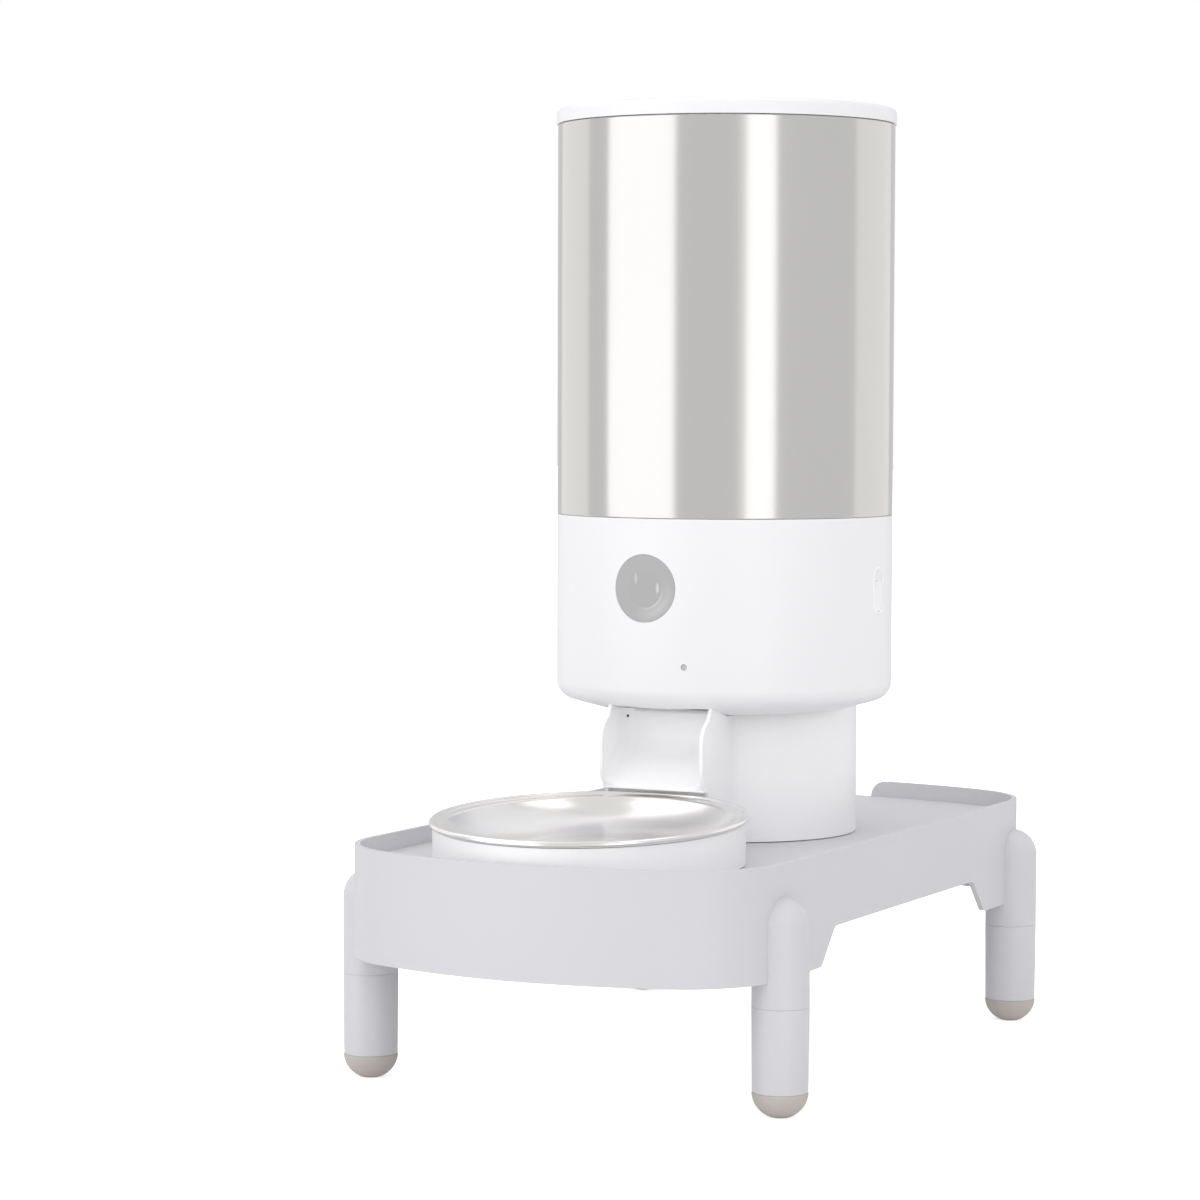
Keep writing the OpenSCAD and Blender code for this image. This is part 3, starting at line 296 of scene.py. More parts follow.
SLOT_MATERIALS = {
    "stand": STAND, "feet": FOOT_RUBBER, "white_shell": WHITE, "white_inner": WHITE_INNER,
    "hopper_steel": HOPPER_STEEL, "bowl_steel": BOWL_STEEL, "screw_steel": SCREW_STEEL,
    "motor_metal": MOTOR_METAL, "brass": BRASS, "dark_plastic": DARK, "rotor_rubber": ROTOR_RUBBER,
    "seal_rubber": SEAL_RUBBER, "board": BOARD, "window": WINDOW, "lens": LENS, "led": LED,
    "mic_grey": MIC, "lock_grey": LOCK,
}


# The pedestal, holder, chute and lock guide come out darker than the drum and the lid, because less
# light reaches them. Their lighter base colour only makes up for that shade.
NODE_MATERIALS = dict.fromkeys(("pedestal", "bowl_holder", "food_chute", "lock_guide"), WHITE_PAINTED_LIGHTER)
NODE_SLOT = {part["node"]: part["material_slot"] for part in frame["record"]["subparts"]}
BODY_NODES = frame["record"]["behaviour"]["bodies"]
NODE_BODY = {node: body for body, members in BODY_NODES.items() for node in members}


def material_of(node):
    return NODE_MATERIALS.get(node, SLOT_MATERIALS[NODE_SLOT[node]])


def dress_cad_nodes():
    """Gives each CAD node the material of its slot in the record."""
    for node in NODE_SLOT:
        mesh = nodes[node].data
        mesh.materials.clear()
        mesh.materials.append(material_of(node))


dress_cad_nodes()


# ---- pieces ------------------------------------------------------------------

def add_piece(name, mesh, node):
    """Puts a mesh in the scene in place of a CAD node, with its body and material."""
    mesh.materials.clear()
    mesh.materials.append(material_of(node))
    piece = bpy.data.objects.new(name, mesh)
    scene.collection.objects.link(piece)
    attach(piece, NODE_BODY[node])
    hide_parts(node)


def baked(mesh, modifiers):
    """The mesh after a list of (kind, settings) modifiers."""
    carrier = bpy.data.objects.new("carrier", mesh)
    scene.collection.objects.link(carrier)
    for kind, settings in modifiers:
        modifier = carrier.modifiers.new(kind, kind)
        for key, setting in settings.items():
            setattr(modifier, key, setting)
    depsgraph = bpy.context.evaluated_depsgraph_get()
    result = bpy.data.meshes.new_from_object(carrier.evaluated_get(depsgraph))
    bpy.data.objects.remove(carrier)
    return result


# edges that turn more than this many degrees are sharp
SHARP_ANGLE = 32
# shading that wide faces lead, with the sharp edges kept
EVEN_SHADING = ("WEIGHTED_NORMAL", {"keep_sharp": True, "weight": 50})


def rounded(mesh, width, segments=3, angle=SHARP_ANGLE):
    """Rounds a mesh's sharp edges and evens out its shading."""
    mesh.shade_smooth()
    bevel = {
        "width": width, "segments": segments, "limit_method": "ANGLE", "angle_limit": radians(angle),
        "use_clamp_overlap": True, "miter_outer": "MITER_ARC", "harden_normals": False,
    }
    return baked(mesh, [("BEVEL", bevel), EVEN_SHADING])


def eased_copy(node, width, segments=3):
    """A copy of a CAD node's mesh with rounded edges."""
    mesh = nodes[node].data.copy()
    shell = bmesh.new()
    shell.from_mesh(mesh)
    # one vertex per corner and one face per flat surface, so that the bevel meets whole edges
    bmesh.ops.remove_doubles(shell, verts=shell.verts, dist=1e-6)
    bmesh.ops.dissolve_limit(shell, angle_limit=radians(0.1), verts=shell.verts, edges=shell.edges)
    for layer in list(shell.loops.layers.float_vector):
        shell.loops.layers.float_vector.remove(layer)
    shell.to_mesh(mesh)
    shell.free()
    return rounded(mesh, width, segments)


def refined(node, width, segments=3):
    """A CAD node's mesh with rounded edges, in the node's place."""
    add_piece(node + "_rounded", eased_copy(node, width, segments), node)


def lathe_mesh(name, profile, centre, steps=192, tilt=0.0, sharp=40):
    """A mesh of revolution about an upright axis, from a closed or axis-to-axis profile in metres."""
    shell = bmesh.new()
    rings = []
    for radius, height in profile:
        if radius < 1e-6:
            rings.append([shell.verts.new((0.0, 0.0, height))])
        else:
            turns = [2 * pi * i / steps for i in range(steps)]
            rings.append([shell.verts.new((radius * cos(a), radius * sin(a), height)) for a in turns])
    closed = profile[0][0] > 1e-6
    count = len(rings) if closed else len(rings) - 1
    for k in range(count):
        a, b = rings[k], rings[(k + 1) % len(rings)]
        for i in range(steps):
            j = (i + 1) % steps
            if len(a) == 1:
                shell.faces.new((a[0], b[j], b[i]))
            elif len(b) == 1:
                shell.faces.new((a[i], a[j], b[0]))
            else:
                shell.faces.new((a[i], a[j], b[j], b[i]))
    bmesh.ops.recalc_face_normals(shell, faces=shell.faces)
    shell.transform(Matrix.Translation(centre) @ Matrix.Rotation(tilt, 4, "X"))
    mesh = bpy.data.meshes.new(name)
    shell.to_mesh(mesh)
    shell.free()
    mesh.shade_smooth()
    mesh.set_sharp_from_angle(angle=radians(sharp))
    return mesh


def arc(centre, radius, start, end, count):
    """Points of an arc in a profile, with angles in degrees."""
    angles = [radians(start + (end - start) * i / count) for i in range(count + 1)]
    return [(centre[0] + radius * cos(a), centre[1] + radius * sin(a)) for a in angles]


# ---- sizes shared with the part's source, in millimetres -----------------------

FEEDER_Y = 25.9
FOOT_Z = 121.0
LEG_X = 121.0
LEG_FRONT_Y = -164.2
LEG_REAR_Y = 169.0
LEG_R = 14.9
LEG_FOOT_R = 14.5
FOOT_H = 12.9
SPLIT_Z = 57.0
DISH_R = 85.05
DISH_DEPTH = 18.5
DISH_T = 0.8
BEAD_R = 1.6
DISH_REACH = 168.5
DISH_Z = FOOT_Z + 25.1
DISH_TILT = radians(3.0)
DRUM_R = 95.0
DRUM_Z = 194.5
SLEEVE_Z = 300.9
SLEEVE_TOP = 520.0
SLEEVE_T = 0.6
PEDESTAL_R = 71.0
PEDESTAL_Y = 11.5
# the drum's underside rises from a seam on the pedestal to a round heel
SEAM_R, SEAM_Z = 71.3, 192.5
KNEE_R = 87.4
HEEL_R = 10.3
HEEL_Z = 206.84
UNDER_ANGLE = radians(15.2)


def scaled(profile):
    return [(radius * MM, height * MM) for radius, height in profile]


# ---- the dish ----------------------------------------------------------------

def make_dish():
    """Pressed steel dish: flat floor, round wall, narrow brim and a rolled rim."""
    flat_r, wall_r, sweep = 43.0, 45.0, 50.0
    centre = (flat_r, wall_r - DISH_DEPTH)
    inner = arc(centre, wall_r, -90, -90 + sweep, 40)
    edge_x, edge_z = inner[-1]
    bead = (DISH_R - BEAD_R, -BEAD_R)
    brim_start = (edge_x + 2.2, -BEAD_R - 0.2)
    half = degrees(asin(DISH_T / 2 / BEAD_R))
    roll = arc(bead, BEAD_R, 180 - half, -180 + half, 40)
    outer = arc(centre, wall_r + DISH_T, -90 + sweep, -90, 40)
    # the wall turns over into the rim on a small radius
    bend = [
        (edge_x + 0.45 * (brim_start[0] - edge_x), edge_z + 0.62 * (brim_start[1] - edge_z)),
        (edge_x + 0.8 * (brim_start[0] - edge_x), edge_z + 0.9 * (brim_start[1] - edge_z)),
    ]
    floor_in = [(flat_r * k / 8, -DISH_DEPTH) for k in range(8)]
    floor_out = [(flat_r * k / 8, -DISH_DEPTH - DISH_T) for k in range(7, -1, -1)]
    profile = floor_in + inner + bend + roll + [(edge_x + 2.6, -BEAD_R - 0.2 - DISH_T)] + outer + floor_out
    place = Vector((0.0, FEEDER_Y - DISH_REACH, DISH_Z)) * MM
    mesh = lathe_mesh("dish", scaled(profile), place, 256, DISH_TILT, 60)
    add_piece("dish_pressed", mesh, "food_bowl")


make_dish()


# ---- the steel sleeve ----------------------------------------------------------

def make_sleeve():
    """Steel sleeve whose two ends are hemmed inward on a small radius."""
    hem = 0.9
    top, foot = SLEEVE_TOP, SLEEVE_Z
    profile = (
        arc((DRUM_R - hem, top - hem), hem, 0, 90, 8)
        + [(DRUM_R - hem, top - SLEEVE_T)]
        + arc((DRUM_R - hem, top - hem), hem - SLEEVE_T, 90, 0, 4)
        + arc((DRUM_R - hem, foot + hem), hem - SLEEVE_T, 0, -90, 4)
        + arc((DRUM_R - hem, foot + hem), hem, -90, 0, 8)
    )
    # intermediate rings keep the long wall's shading even
    wall = [(DRUM_R, foot + hem + (top - foot - 2 * hem) * k / 6) for k in range(1, 6)]
    mesh = lathe_mesh("sleeve", scaled(profile + wall), Vector((0.0, FEEDER_Y, 0.0)) * MM, 256)
    add_piece("sleeve_hemmed", mesh, "hopper_sleeve")


make_sleeve()


# ---- legs and feet -------------------------------------------------------------

SPIGOT_R = 9.7
SPIGOT_H = 28.0
SPIGOT_WALL = 3.0
STUB_R = 8.0
STUB_H = 8.0
STUB_GAP = 0.15
EASE = 0.5


def make_leg(node, x, y):
    """Tapered lower leg with eased edges, its spigot and the socket for its foot."""
    socket_r, socket_z = STUB_R + STUB_GAP, FOOT_H + STUB_H + 0.2
    bore_r, bore_z = SPIGOT_R - SPIGOT_WALL, FOOT_H + 10.0
    top = SPLIT_Z + SPIGOT_H
    profile = (
        [(0.0, socket_z), (socket_r, socket_z), (socket_r, FOOT_H), (LEG_FOOT_R - EASE, FOOT_H)]
        + arc((LEG_FOOT_R - EASE, FOOT_H + EASE), EASE, -90, 0, 5)
        + arc((LEG_R - EASE, SPLIT_Z - EASE), EASE, 0, 90, 5)
        + [(SPIGOT_R, SPLIT_Z), (SPIGOT_R, top - 1.0), (SPIGOT_R - 1.0, top)]
        + [(bore_r, top), (bore_r, bore_z), (0.0, bore_z)]
    )
    mesh = lathe_mesh(node, scaled(profile), Vector((x, y, 0.0)) * MM, 96)
    add_piece(node + "_turned", mesh, node)


def make_foot(node, x, y):
    """Rubber foot: a ball cut flat where it stands, with a small step under the leg."""
    ball_r = LEG_FOOT_R + 0.2
    # the angle below the ball's middle at which it is cut flat, and its squash to the foot's height
    flat = 70.0
    sink = FOOT_H / sin(radians(flat)) / ball_r
    low = [(radius, FOOT_H + sink * height) for radius, height in arc((0.0, 0.0), ball_r, -flat, -4, 24)]
    top, chamfer = FOOT_H + STUB_H, 0.6
    profile = (
        [(0.0, 0.0), (low[0][0] - 0.4, 0.0)] + low
        + arc((ball_r - EASE - 0.1, FOOT_H - EASE), EASE, 10, 90, 5)
        + [(STUB_R, FOOT_H), (STUB_R, top - chamfer), (STUB_R - chamfer, top), (0.0, top)]
    )
    mesh = lathe_mesh(node, scaled(profile), Vector((x, y, 0.0)) * MM, 96)
    add_piece(node + "_moulded", mesh, node)


for end, y in (("front", LEG_FRONT_Y), ("rear", LEG_REAR_Y)):
    for side, x in (("left", -LEG_X), ("right", LEG_X)):
        make_leg(f"leg_{end}_{side}", x, y)
        make_foot(f"foot_{end}_{side}", x, y)


# ---- the chute -----------------------------------------------------------------

# Heights are from the floor, and y is measured from the feeder's axis, forward being negative.
CHUTE_HALF = 31.5
CHUTE_WALL = 2.0
LIP_Y, LIP_Z = -88.0, 154.55
LIP_R = 3.0
LIP_FOOT_Z = 151.9
# the share of the round corners that is left at the lip's foot
LIP_SHARE = 0.12
BACK_Y = -62.5
BEND_R = 19.0
CORNER_R = 9.0
SLIDE_ANGLE = radians(38.0)
SLIDE_TOP_Z = LIP_Z + (BACK_Y - LIP_Y) * tan(SLIDE_ANGLE)
CHEEK_BACK_Y = -50.5
CHEEK_FOOT_Z = 140.0
# the cheeks stay a little under the drum at the back and reach a little into it at the front
CHEEK_GAP, CHEEK_SINK = 0.45, 0.4
FILLET_R = 6.0
BIB_FRONT_Y, BIB_BACK_Y = -82.4, -80.4
BIB_TOP_Z = 156.0


def slide_path():
    """Side view of the slide's surface, from under the drum to the lip.

    Each row gives a point, the surface's normal there and the share of the round corners.
    """
    down = pi / 2 - SLIDE_ANGLE
    reach = BEND_R * tan(down / 2)
    back_foot_z = SLIDE_TOP_Z + reach
    rows = [((BACK_Y, DRUM_Z - 0.1 + (back_foot_z - DRUM_Z) * k / 4), (-1.0, 0.0), 1.0) for k in range(4)]
    hub_y = BACK_Y - BEND_R
    for k in range(17):
        a = down * k / 16
        rows.append(((hub_y + BEND_R * cos(a), back_foot_z - BEND_R * sin(a)), (-cos(a), sin(a)), 1.0))
    normal = (-sin(SLIDE_ANGLE), cos(SLIDE_ANGLE))
    y, z = rows[-1][0]
    rows += [((y + (LIP_Y - y) * k / 8, z + (LIP_Z - z) * k / 8), normal, 1.0) for k in range(1, 9)]
    # the lip turns down towards the dish
    hub = (LIP_Y + LIP_R * sin(SLIDE_ANGLE), LIP_Z - LIP_R * cos(SLIDE_ANGLE))
    for k in range(1, 9):
        a = SLIDE_ANGLE + down * k / 8
        share = max(LIP_SHARE, (1 - k / 8) ** 1.5)
        rows.append(((hub[0] - LIP_R * sin(a), hub[1] + LIP_R * cos(a)), (-sin(a), cos(a)), share))
    rows.append(((hub[0] - LIP_R, LIP_FOOT_Z), (-1.0, 0.0), LIP_SHARE))
    return rows


def add_slide(shell):
    """The slide: its surface rises into the cheeks on a round corner, and its back is plain."""
    inside = CHUTE_HALF - CHUTE_WALL
    corner = [-inside + CORNER_R * (1 - cos(radians(90.0 * k / 10))) for k in range(11)]
    side = [-inside - 1.0] + corner
    middle = [-14.0, -7.0, 0.0, 7.0, 14.0]
    across = sorted(set(round(x, 4) for x in side + [-x for x in side] + middle))
    rows = []
    for (y, z), (ny, nz), share in slide_path():
        row = []
        for x in across:
            over = max(0.0, min(abs(x), inside) - (inside - CORNER_R))
            rise = share * (CORNER_R - sqrt(max(0.0, CORNER_R * CORNER_R - over * over)))
            row.append(shell.verts.new((x, y + ny * rise, z + nz * rise)))
        back_y, back_z = y - ny * CHUTE_WALL, z - nz * CHUTE_WALL
        under = [shell.verts.new((x, back_y, back_z)) for x in (across[0], across[-1])]
        rows.append((row, under))
    for (row, under), (next_row, next_under) in zip(rows, rows[1:]):
        for i in range(len(row) - 1):
            shell.faces.new((row[i], row[i + 1], next_row[i + 1], next_row[i]))
        shell.faces.new((under[1], under[0], next_under[0], next_under[1]))
        shell.faces.new((row[0], next_row[0], next_under[0], under[0]))
        shell.faces.new((next_row[-1], row[-1], under[1], next_under[1]))
    for row, under in (rows[0], rows[-1]):
        shell.faces.new(row + [under[1], under[0]])


def under_z(x, y):
    """Height of the drum's underside over a point, with y measured from the feeder's axis."""
    radius = max(SEAM_R, sqrt(x * x + y * y))
    if radius < KNEE_R:
        return SEAM_Z + (radius - SEAM_R) * tan(UNDER_ANGLE)
    return HEEL_Z - sqrt(max(0.0, HEEL_R ** 2 - (radius - DRUM_R + HEEL_R) ** 2))


def add_prism(shell, near_points, far_points):
    """A closed prism between two outlines with as many points each."""
    near = [shell.verts.new(point) for point in near_points]
    far = [shell.verts.new(point) for point in far_points]
    shell.faces.new(near)
    shell.faces.new(far[::-1])
    for i in range(len(near)):
        j = (i + 1) % len(near)
        shell.faces.new((near[j], near[i], far[i], far[j]))


def add_cheek(shell, x):
    """A cheek plate that bulges forward of the slide and runs down beside it."""
    middle = x + CHUTE_WALL / 2
    back = [(y, under_z(middle, y) - CHEEK_GAP) for y in (CHEEK_BACK_Y, -64.0, -67.0, -70.5)]
    front = [(y, under_z(middle, y) + CHEEK_SINK) for y in (-71.0, -75.0, -79.0, -83.0)]
    outline = (
        back + front
        + arc((-81.0, 178.0), 14.0, 112, 180, 14)
        + arc((-83.0, LIP_Z + 9.5), 12.0, 180, 225, 9)
        + [(-90.3, 153.0), (-89.4, 151.9), (-88.0, 151.7), (-87.0, 150.6)]
        + [(-87.0, CHEEK_FOOT_Z), (CHEEK_BACK_Y, CHEEK_FOOT_Z)]
    )
    add_prism(shell, [(x, y, z) for y, z in outline], [(x + CHUTE_WALL, y, z) for y, z in outline])


def add_fillet(shell, side):
    """The soft corner between a cheek's outer face and the pedestal's wall."""
    hub_x = CHUTE_HALF + FILLET_R
    hub_y = PEDESTAL_Y - sqrt((PEDESTAL_R + FILLET_R) ** 2 - hub_x ** 2)
    end = degrees(atan2(PEDESTAL_Y - hub_y, -hub_x))
    outline = arc((hub_x, hub_y), FILLET_R + 0.03, 180, end, 10) + [(CHUTE_HALF - 0.6, PEDESTAL_Y - 62.0)]
    low, high = CHEEK_FOOT_Z, SEAM_Z - 0.4
    add_prism(shell, [(side * x, y, low) for x, y in outline], [(side * x, y, high) for x, y in outline])


def add_bib(shell):
    """The plate that closes the scoop's foot behind the dish."""
    half = CHUTE_HALF - 0.5
    outline = [(-half, BIB_FRONT_Y), (half, BIB_FRONT_Y), (half, BIB_BACK_Y), (-half, BIB_BACK_Y)]
    add_prism(shell, [(x, y, CHEEK_FOOT_Z) for x, y in outline], [(x, y, BIB_TOP_Z) for x, y in outline])


def make_chute():
    """Scoop under the drum: a slide with round corners between two eased cheeks."""
    cheeks = bmesh.new()
    add_bib(cheeks)
    add_cheek(cheeks, -CHUTE_HALF)
    add_cheek(cheeks, CHUTE_HALF - CHUTE_WALL)
    add_fillet(cheeks, -1)
    add_fillet(cheeks, 1)
    bmesh.ops.recalc_face_normals(cheeks, faces=cheeks.faces)
    cheek_mesh = bpy.data.meshes.new("cheeks")
    cheeks.to_mesh(cheek_mesh)
    cheeks.free()
    cheek_mesh = rounded(cheek_mesh, 0.8, 3, 60)
    shell = bmesh.new()
    add_slide(shell)
    bmesh.ops.recalc_face_normals(shell, faces=shell.faces)
    for face in shell.faces:
        face.smooth = True
    shell.from_mesh(cheek_mesh)
    shell.transform(Matrix.Translation((0.0, FEEDER_Y * MM, 0.0)) @ Matrix.Scale(MM, 4))
    mesh = bpy.data.meshes.new("chute")
    shell.to_mesh(mesh)
    shell.free()
    mesh.set_sharp_from_angle(angle=radians(40))
    add_piece("chute_scoop", mesh, "food_chute")


def make_painted_hole_shade():
    """A thin dark disc on the left cheek: painted shade that stands for the small hole there."""
    radius, thickness = 0.8, 0.06
    profile = [(0.0, 0.0), (radius, 0.0), (radius, thickness), (0.0, thickness)]
    mesh = lathe_mesh("hole", scaled(profile), Vector((0.0, 0.0, 0.0)), 32)
    place = Vector((-27.9, FEEDER_Y - 66.4, 189.9)) * MM
    facing = Vector((0.84, -0.54, 0.0)).to_track_quat("Z", "Y").to_matrix().to_4x4()
    mesh.transform(Matrix.Translation(place) @ facing)
    mesh.materials.append(DARK)
    piece = bpy.data.objects.new("chute_pivot_hole_painted_shade", mesh)
    scene.collection.objects.link(piece)
    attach(piece, "feeder")


# ---- the drum -------------------------------------------------------------------

# the ring of the underside ends inside the drum's wall at this height
RING_TOP_Z = 199.5
DRUM_WALL = 2.6
# the underside is open over the chute between these, with y measured from the feeder's axis
RECESS_FRONT_Y, RECESS_BACK_Y = -85.2, -40.0
RECESS_TOP_Z = 197.0
# the shapes that cut away reach down to these, below the drum
CUT_FOOT_Z = 180.0
RECESS_FOOT_Z = 185.0


def cut(mesh, tool_mesh):
    """The mesh less the tool."""
    tool = bpy.data.objects.new("tool", tool_mesh)
    scene.collection.objects.link(tool)
    result = baked(mesh, [("BOOLEAN", {"operation": "DIFFERENCE", "solver": "EXACT", "object": tool})])
    bpy.data.objects.remove(tool)
    return result


def evened(mesh):
    """The mesh with smooth shading that wide faces lead."""
    mesh.shade_smooth()
    mesh.set_sharp_from_angle(angle=radians(SHARP_ANGLE))
    return baked(mesh, [EVEN_SHADING])


def set_round_normals(mesh):
    """Gives the drum's outer wall the normals of a true cylinder."""
    normals = [tuple(normal.vector) for normal in mesh.corner_normals]
    for face in mesh.polygons:
        if abs(face.normal.z) > 0.1:
            continue
        for corner in face.loop_indices:
            point = mesh.vertices[mesh.loops[corner].vertex_index].co
            outward = Vector((point.x, point.y - FEEDER_Y * MM, 0.0))
            if abs(outward.length - DRUM_R * MM) < 0.1 * MM and face.normal.dot(outward) > 0:
                normals[corner] = tuple(outward.normalized())
    mesh.normals_split_custom_set(normals)


def block_mesh(low, high):
    """A box between two corners, in millimetres."""
    corners = [(x, y, z) for x in (low[0], high[0]) for y in (low[1], high[1]) for z in (low[2], high[2])]
    mesh = bpy.data.meshes.new("block")
    mesh.from_pydata([[v * MM for v in corner] for corner in corners], [],
                     [(0, 1, 3, 2), (4, 6, 7, 5), (0, 4, 5, 1), (2, 3, 7, 6), (0, 2, 6, 4), (1, 5, 7, 3)])
    return mesh


def make_drum():
    """The drum's shell, whose underside rises from the pedestal to a round heel, open over the chute."""
    centre = Vector((0.0, FEEDER_Y, 0.0)) * MM
    beyond = DRUM_R + 2
    outline = [(SEAM_R, CUT_FOOT_Z), (beyond, CUT_FOOT_Z), (beyond, HEEL_Z), (SEAM_R, HEEL_Z)]
    away = lathe_mesh("away", scaled(outline), centre)
    body = evened(cut(eased_copy("drum_housing", 0.5 * MM, 2), away))
    set_round_normals(body)
    add_piece("drum_shell", body, "drum_housing")
    wall_r = DRUM_R - DRUM_WALL
    profile = (
        [(SEAM_R, SEAM_Z + 0.8), (SEAM_R + 0.6, under_z(SEAM_R + 0.6, 0.0))]
        + arc((DRUM_R - HEEL_R, HEEL_Z), HEEL_R, degrees(UNDER_ANGLE) - 90, 0, 24)
        + [(wall_r, HEEL_Z), (wall_r, HEEL_Z - 4.0), (DRUM_R - 7.0, RING_TOP_Z), (SEAM_R, RING_TOP_Z)]
    )
    ring = lathe_mesh("ring", scaled(profile), centre, 256)
    half = CHUTE_HALF - CHUTE_WALL
    recess = block_mesh((-half, FEEDER_Y + RECESS_FRONT_Y, RECESS_FOOT_Z),
                        (half, FEEDER_Y + RECESS_BACK_Y, RECESS_TOP_Z))
    add_piece("drum_underside", evened(cut(ring, recess)), "drum_housing")


# ---- shells with rounded edges ---------------------------------------------------

refined("stand_tray", 1.1 * MM)
refined("bowl_holder", 0.5 * MM)
refined("pedestal", 0.4 * MM, 2)
make_chute()
make_painted_hole_shade()
make_drum()
refined("lid_cover", 0.4 * MM, 2)


# ---- studio ------------------------------------------------------------------

# the line from the hopper's axis to the camera, from which the walls' angles are measured
HOPPER_AZIMUTH = radians(24.9)
STUDIO_CENTRE = Vector((0.0, FEEDER_Y * MM, 0.0))
ROOM_DISTANCE, LIGHT_DISTANCE, CEILING_DISTANCE = 3.6, 3.5, 3.0
WALL_HALF_HEIGHT = 2.6
WARM, WARM_EDGE, COOL = (1.0, 0.985, 0.97), (1.0, 0.99, 0.975), (0.99, 0.995, 1.0)
# upright walls and light boxes: name, first and last angle to the right, distance, level, colour
WALLS = (
    ("room_behind", 150, 210, ROOM_DISTANCE, 0.70, NEUTRAL),
    ("room_far_left", -150, -106, ROOM_DISTANCE, 1.05, WARM),
    ("room_left", -106, -86, ROOM_DISTANCE, 0.78, NEUTRAL),
    ("light_left", -86, -34, LIGHT_DISTANCE, 1.55, NEUTRAL),
    ("room_front", -34, 9, ROOM_DISTANCE, 0.78, NEUTRAL),
    ("light_right_edge", 9, 13.5, ROOM_DISTANCE, 0.98, WARM_EDGE),
    ("light_right", 13.5, 33.7, LIGHT_DISTANCE, 1.6, NEUTRAL),
    ("room_right", 33.7, 98, ROOM_DISTANCE, 0.80, COOL),
    ("room_far_right", 98, 150, ROOM_DISTANCE, 1.03, WARM),
)
# light boxes over the dish: name, azimuths from the camera's, elevations, level
OVERHEADS = (
    ("ceiling_right", (38, 158), (59, 82), 1.55),
    ("ceiling_left", (-167, -72), (35, 70), 1.55),
)
# light that falls on surfaces: an even level, and lobes with their azimuth from the front, elevation,
# level and the power of their fall-off
WORLD_LEVEL = 0.42
WORLD_COLOUR = (0.985, 0.985, 1.0)
LOBES = (
    (-32.0, 10.0, 1.12, 6.0),
    (42.0, 6.0, 0.95, 6.0),
    (0.0, 90.0, 1.10, 2.0),
)
# what reflections see where there is no wall or light box
CEILING_LEVEL = 0.79
FLOOR_HALF = 14.0
FLOOR_GLOW = 0.62


def studio_point(angle, distance, height):
    """A point at an angle to the right of the line from the hopper to the camera."""
    turn = HOPPER_AZIMUTH + radians(angle)
    return STUDIO_CENTRE + Vector((sin(turn) * distance, -cos(turn) * distance, height))


def emission(name, level, colour):
    material = bpy.data.materials.new(name)
    material.use_nodes = True
    tree = material.node_tree
    tree.nodes.clear()
    glow = tree.nodes.new("ShaderNodeEmission")
    glow.inputs["Color"].default_value = (*colour, 1.0)
    glow.inputs["Strength"].default_value = level
    out = tree.nodes.new("ShaderNodeOutputMaterial")
    tree.links.new(glow.outputs["Emission"], out.inputs["Surface"])
    return material


def add_panel(name, vertices, faces, level, colour):
    """A studio surface that only reflections see."""
    mesh = bpy.data.meshes.new(name)
    mesh.from_pydata(vertices, [], faces)
    mesh.materials.append(emission(name, level, colour))
    piece = bpy.data.objects.new(name, mesh)
    scene.collection.objects.link(piece)
    piece.visible_camera = False
    piece.visible_shadow = False
    piece.visible_diffuse = False
    piece.visible_transmission = False


def add_wall(name, from_angle, to_angle, distance, level, colour):
    """An upright curved studio wall or light box."""
    steps = max(2, round(abs(to_angle - from_angle) / 4))
    vertices, faces = [], []
    for i in range(steps + 1):
        angle = from_angle + (to_angle - from_angle) * i / steps
        for height in (-WALL_HALF_HEIGHT, WALL_HALF_HEIGHT):
            vertices.append(studio_point(angle, distance, height))
    for i in range(steps):
        faces.append((2 * i, 2 * i + 2, 2 * i + 3, 2 * i + 1))
    add_panel(name, vertices, faces, level, colour)


def add_overhead(name, azimuths, elevations, level):
    """A light box on the studio's ceiling, between two azimuths and two elevations over the dish."""
    centre = Vector((0.0, (FEEDER_Y - DISH_REACH) * MM, DISH_Z * MM))
    vertices, faces = [], []
    across, upward = 12, 6
    for j in range(upward + 1):
        lift = radians(elevations[0] + (elevations[1] - elevations[0]) * j / upward)
        for i in range(across + 1):
            turn = CAMERA_AZIMUTH + radians(azimuths[0] + (azimuths[1] - azimuths[0]) * i / across)
            vertices.append(centre + CEILING_DISTANCE * direction(turn, lift))
    for j in range(upward):
        for i in range(across):
            k = j * (across + 1) + i
            faces.append((k, k + 1, k + across + 2, k + across + 1))
    add_panel(name, vertices, faces, level, NEUTRAL)


def background(tree, colour, level=1.0):
    node = tree.nodes.new("ShaderNodeBackground")
    node.inputs["Color"].default_value = (*colour, 1.0)
    node.inputs["Strength"].default_value = level
    return node


def blend(tree, share, first, second):
    """One shader, and another by the share of a 0 to 1 value."""
    node = tree.nodes.new("ShaderNodeMixShader")
    tree.links.new(share, node.inputs["Fac"])
    tree.links.new(first.outputs[0], node.inputs[1])
    tree.links.new(second.outputs[0], node.inputs[2])
    return node


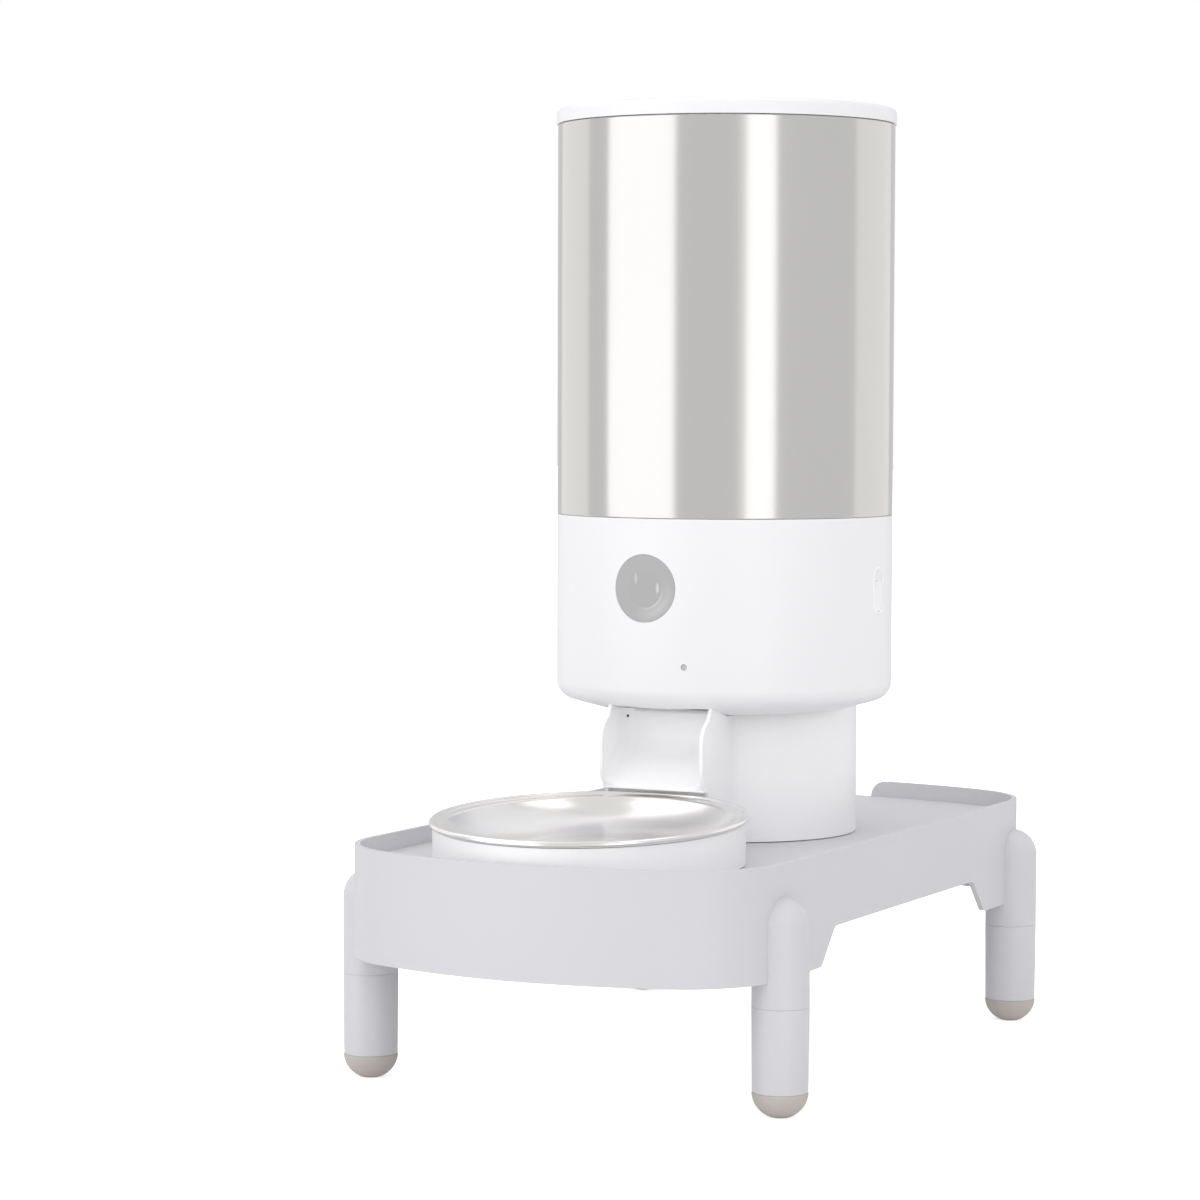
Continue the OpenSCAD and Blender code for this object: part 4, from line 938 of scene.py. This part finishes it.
def make_world():
    """White where the camera sees it, one level in reflections, and a soft drift of light elsewhere."""
    world = bpy.data.worlds.new("studio")
    world.use_nodes = True
    tree = world.node_tree
    tree.nodes.clear()
    path = tree.nodes.new("ShaderNodeLightPath")
    place = tree.nodes.new("ShaderNodeTexCoord")
    strength = WORLD_LEVEL
    for azimuth, elevation, level, power in LOBES:
        lean = tree.nodes.new("ShaderNodeVectorMath")
        lean.operation = "DOT_PRODUCT"
        lean.inputs[1].default_value = direction(radians(azimuth), radians(elevation))
        tree.links.new(place.outputs["Generated"], lean.inputs[0])
        facing = value(tree, "MAXIMUM", lean.outputs["Value"], 0.0)
        strength = value(tree, "MULTIPLY_ADD", value(tree, "POWER", facing, power), level, strength)
    soft = background(tree, WORLD_COLOUR)
    tree.links.new(strength, soft.inputs["Strength"])
    lit = blend(tree, path.outputs["Is Glossy Ray"], soft, background(tree, WARM, CEILING_LEVEL))
    clear = value(tree, "MAXIMUM", path.outputs["Is Camera Ray"], path.outputs["Is Transmission Ray"])
    seen = blend(tree, clear, lit, background(tree, NEUTRAL))
    out = tree.nodes.new("ShaderNodeOutputWorld")
    tree.links.new(seen.outputs[0], out.inputs["Surface"])
    scene.world = world


def make_floor():
    """A pale floor, made lighter for the camera and darker only where the object shades it."""
    corners = [(-FLOOR_HALF, -FLOOR_HALF, 0), (FLOOR_HALF, -FLOOR_HALF, 0),
               (FLOOR_HALF, FLOOR_HALF, 0), (-FLOOR_HALF, FLOOR_HALF, 0)]
    mesh = bpy.data.meshes.new("floor")
    mesh.from_pydata(corners, [], [(0, 1, 2, 3)])
    material, tree, bsdf = new_material("floor_white")
    bsdf.inputs["Base Color"].default_value = (0.96, 0.96, 0.96, 1.0)
    bsdf.inputs["Roughness"].default_value = 0.9
    bsdf.inputs["Specular IOR Level"].default_value = 0.0
    path = tree.nodes.new("ShaderNodeLightPath")
    bsdf.inputs["Emission Color"].default_value = (1.0, 1.0, 1.0, 1.0)
    glow = value(tree, "MULTIPLY", path.outputs["Is Camera Ray"], FLOOR_GLOW)
    tree.links.new(glow, bsdf.inputs["Emission Strength"])
    mesh.materials.append(material)
    floor = bpy.data.objects.new("floor", mesh)
    scene.collection.objects.link(floor)
    floor.visible_glossy = False


make_world()
make_floor()
for wall in WALLS:
    add_wall(*wall)
for light_box in OVERHEADS:
    add_overhead(*light_box)

scene.cycles.max_bounces = 16
scene.cycles.diffuse_bounces = 12
scene.view_settings.view_transform = "Standard"
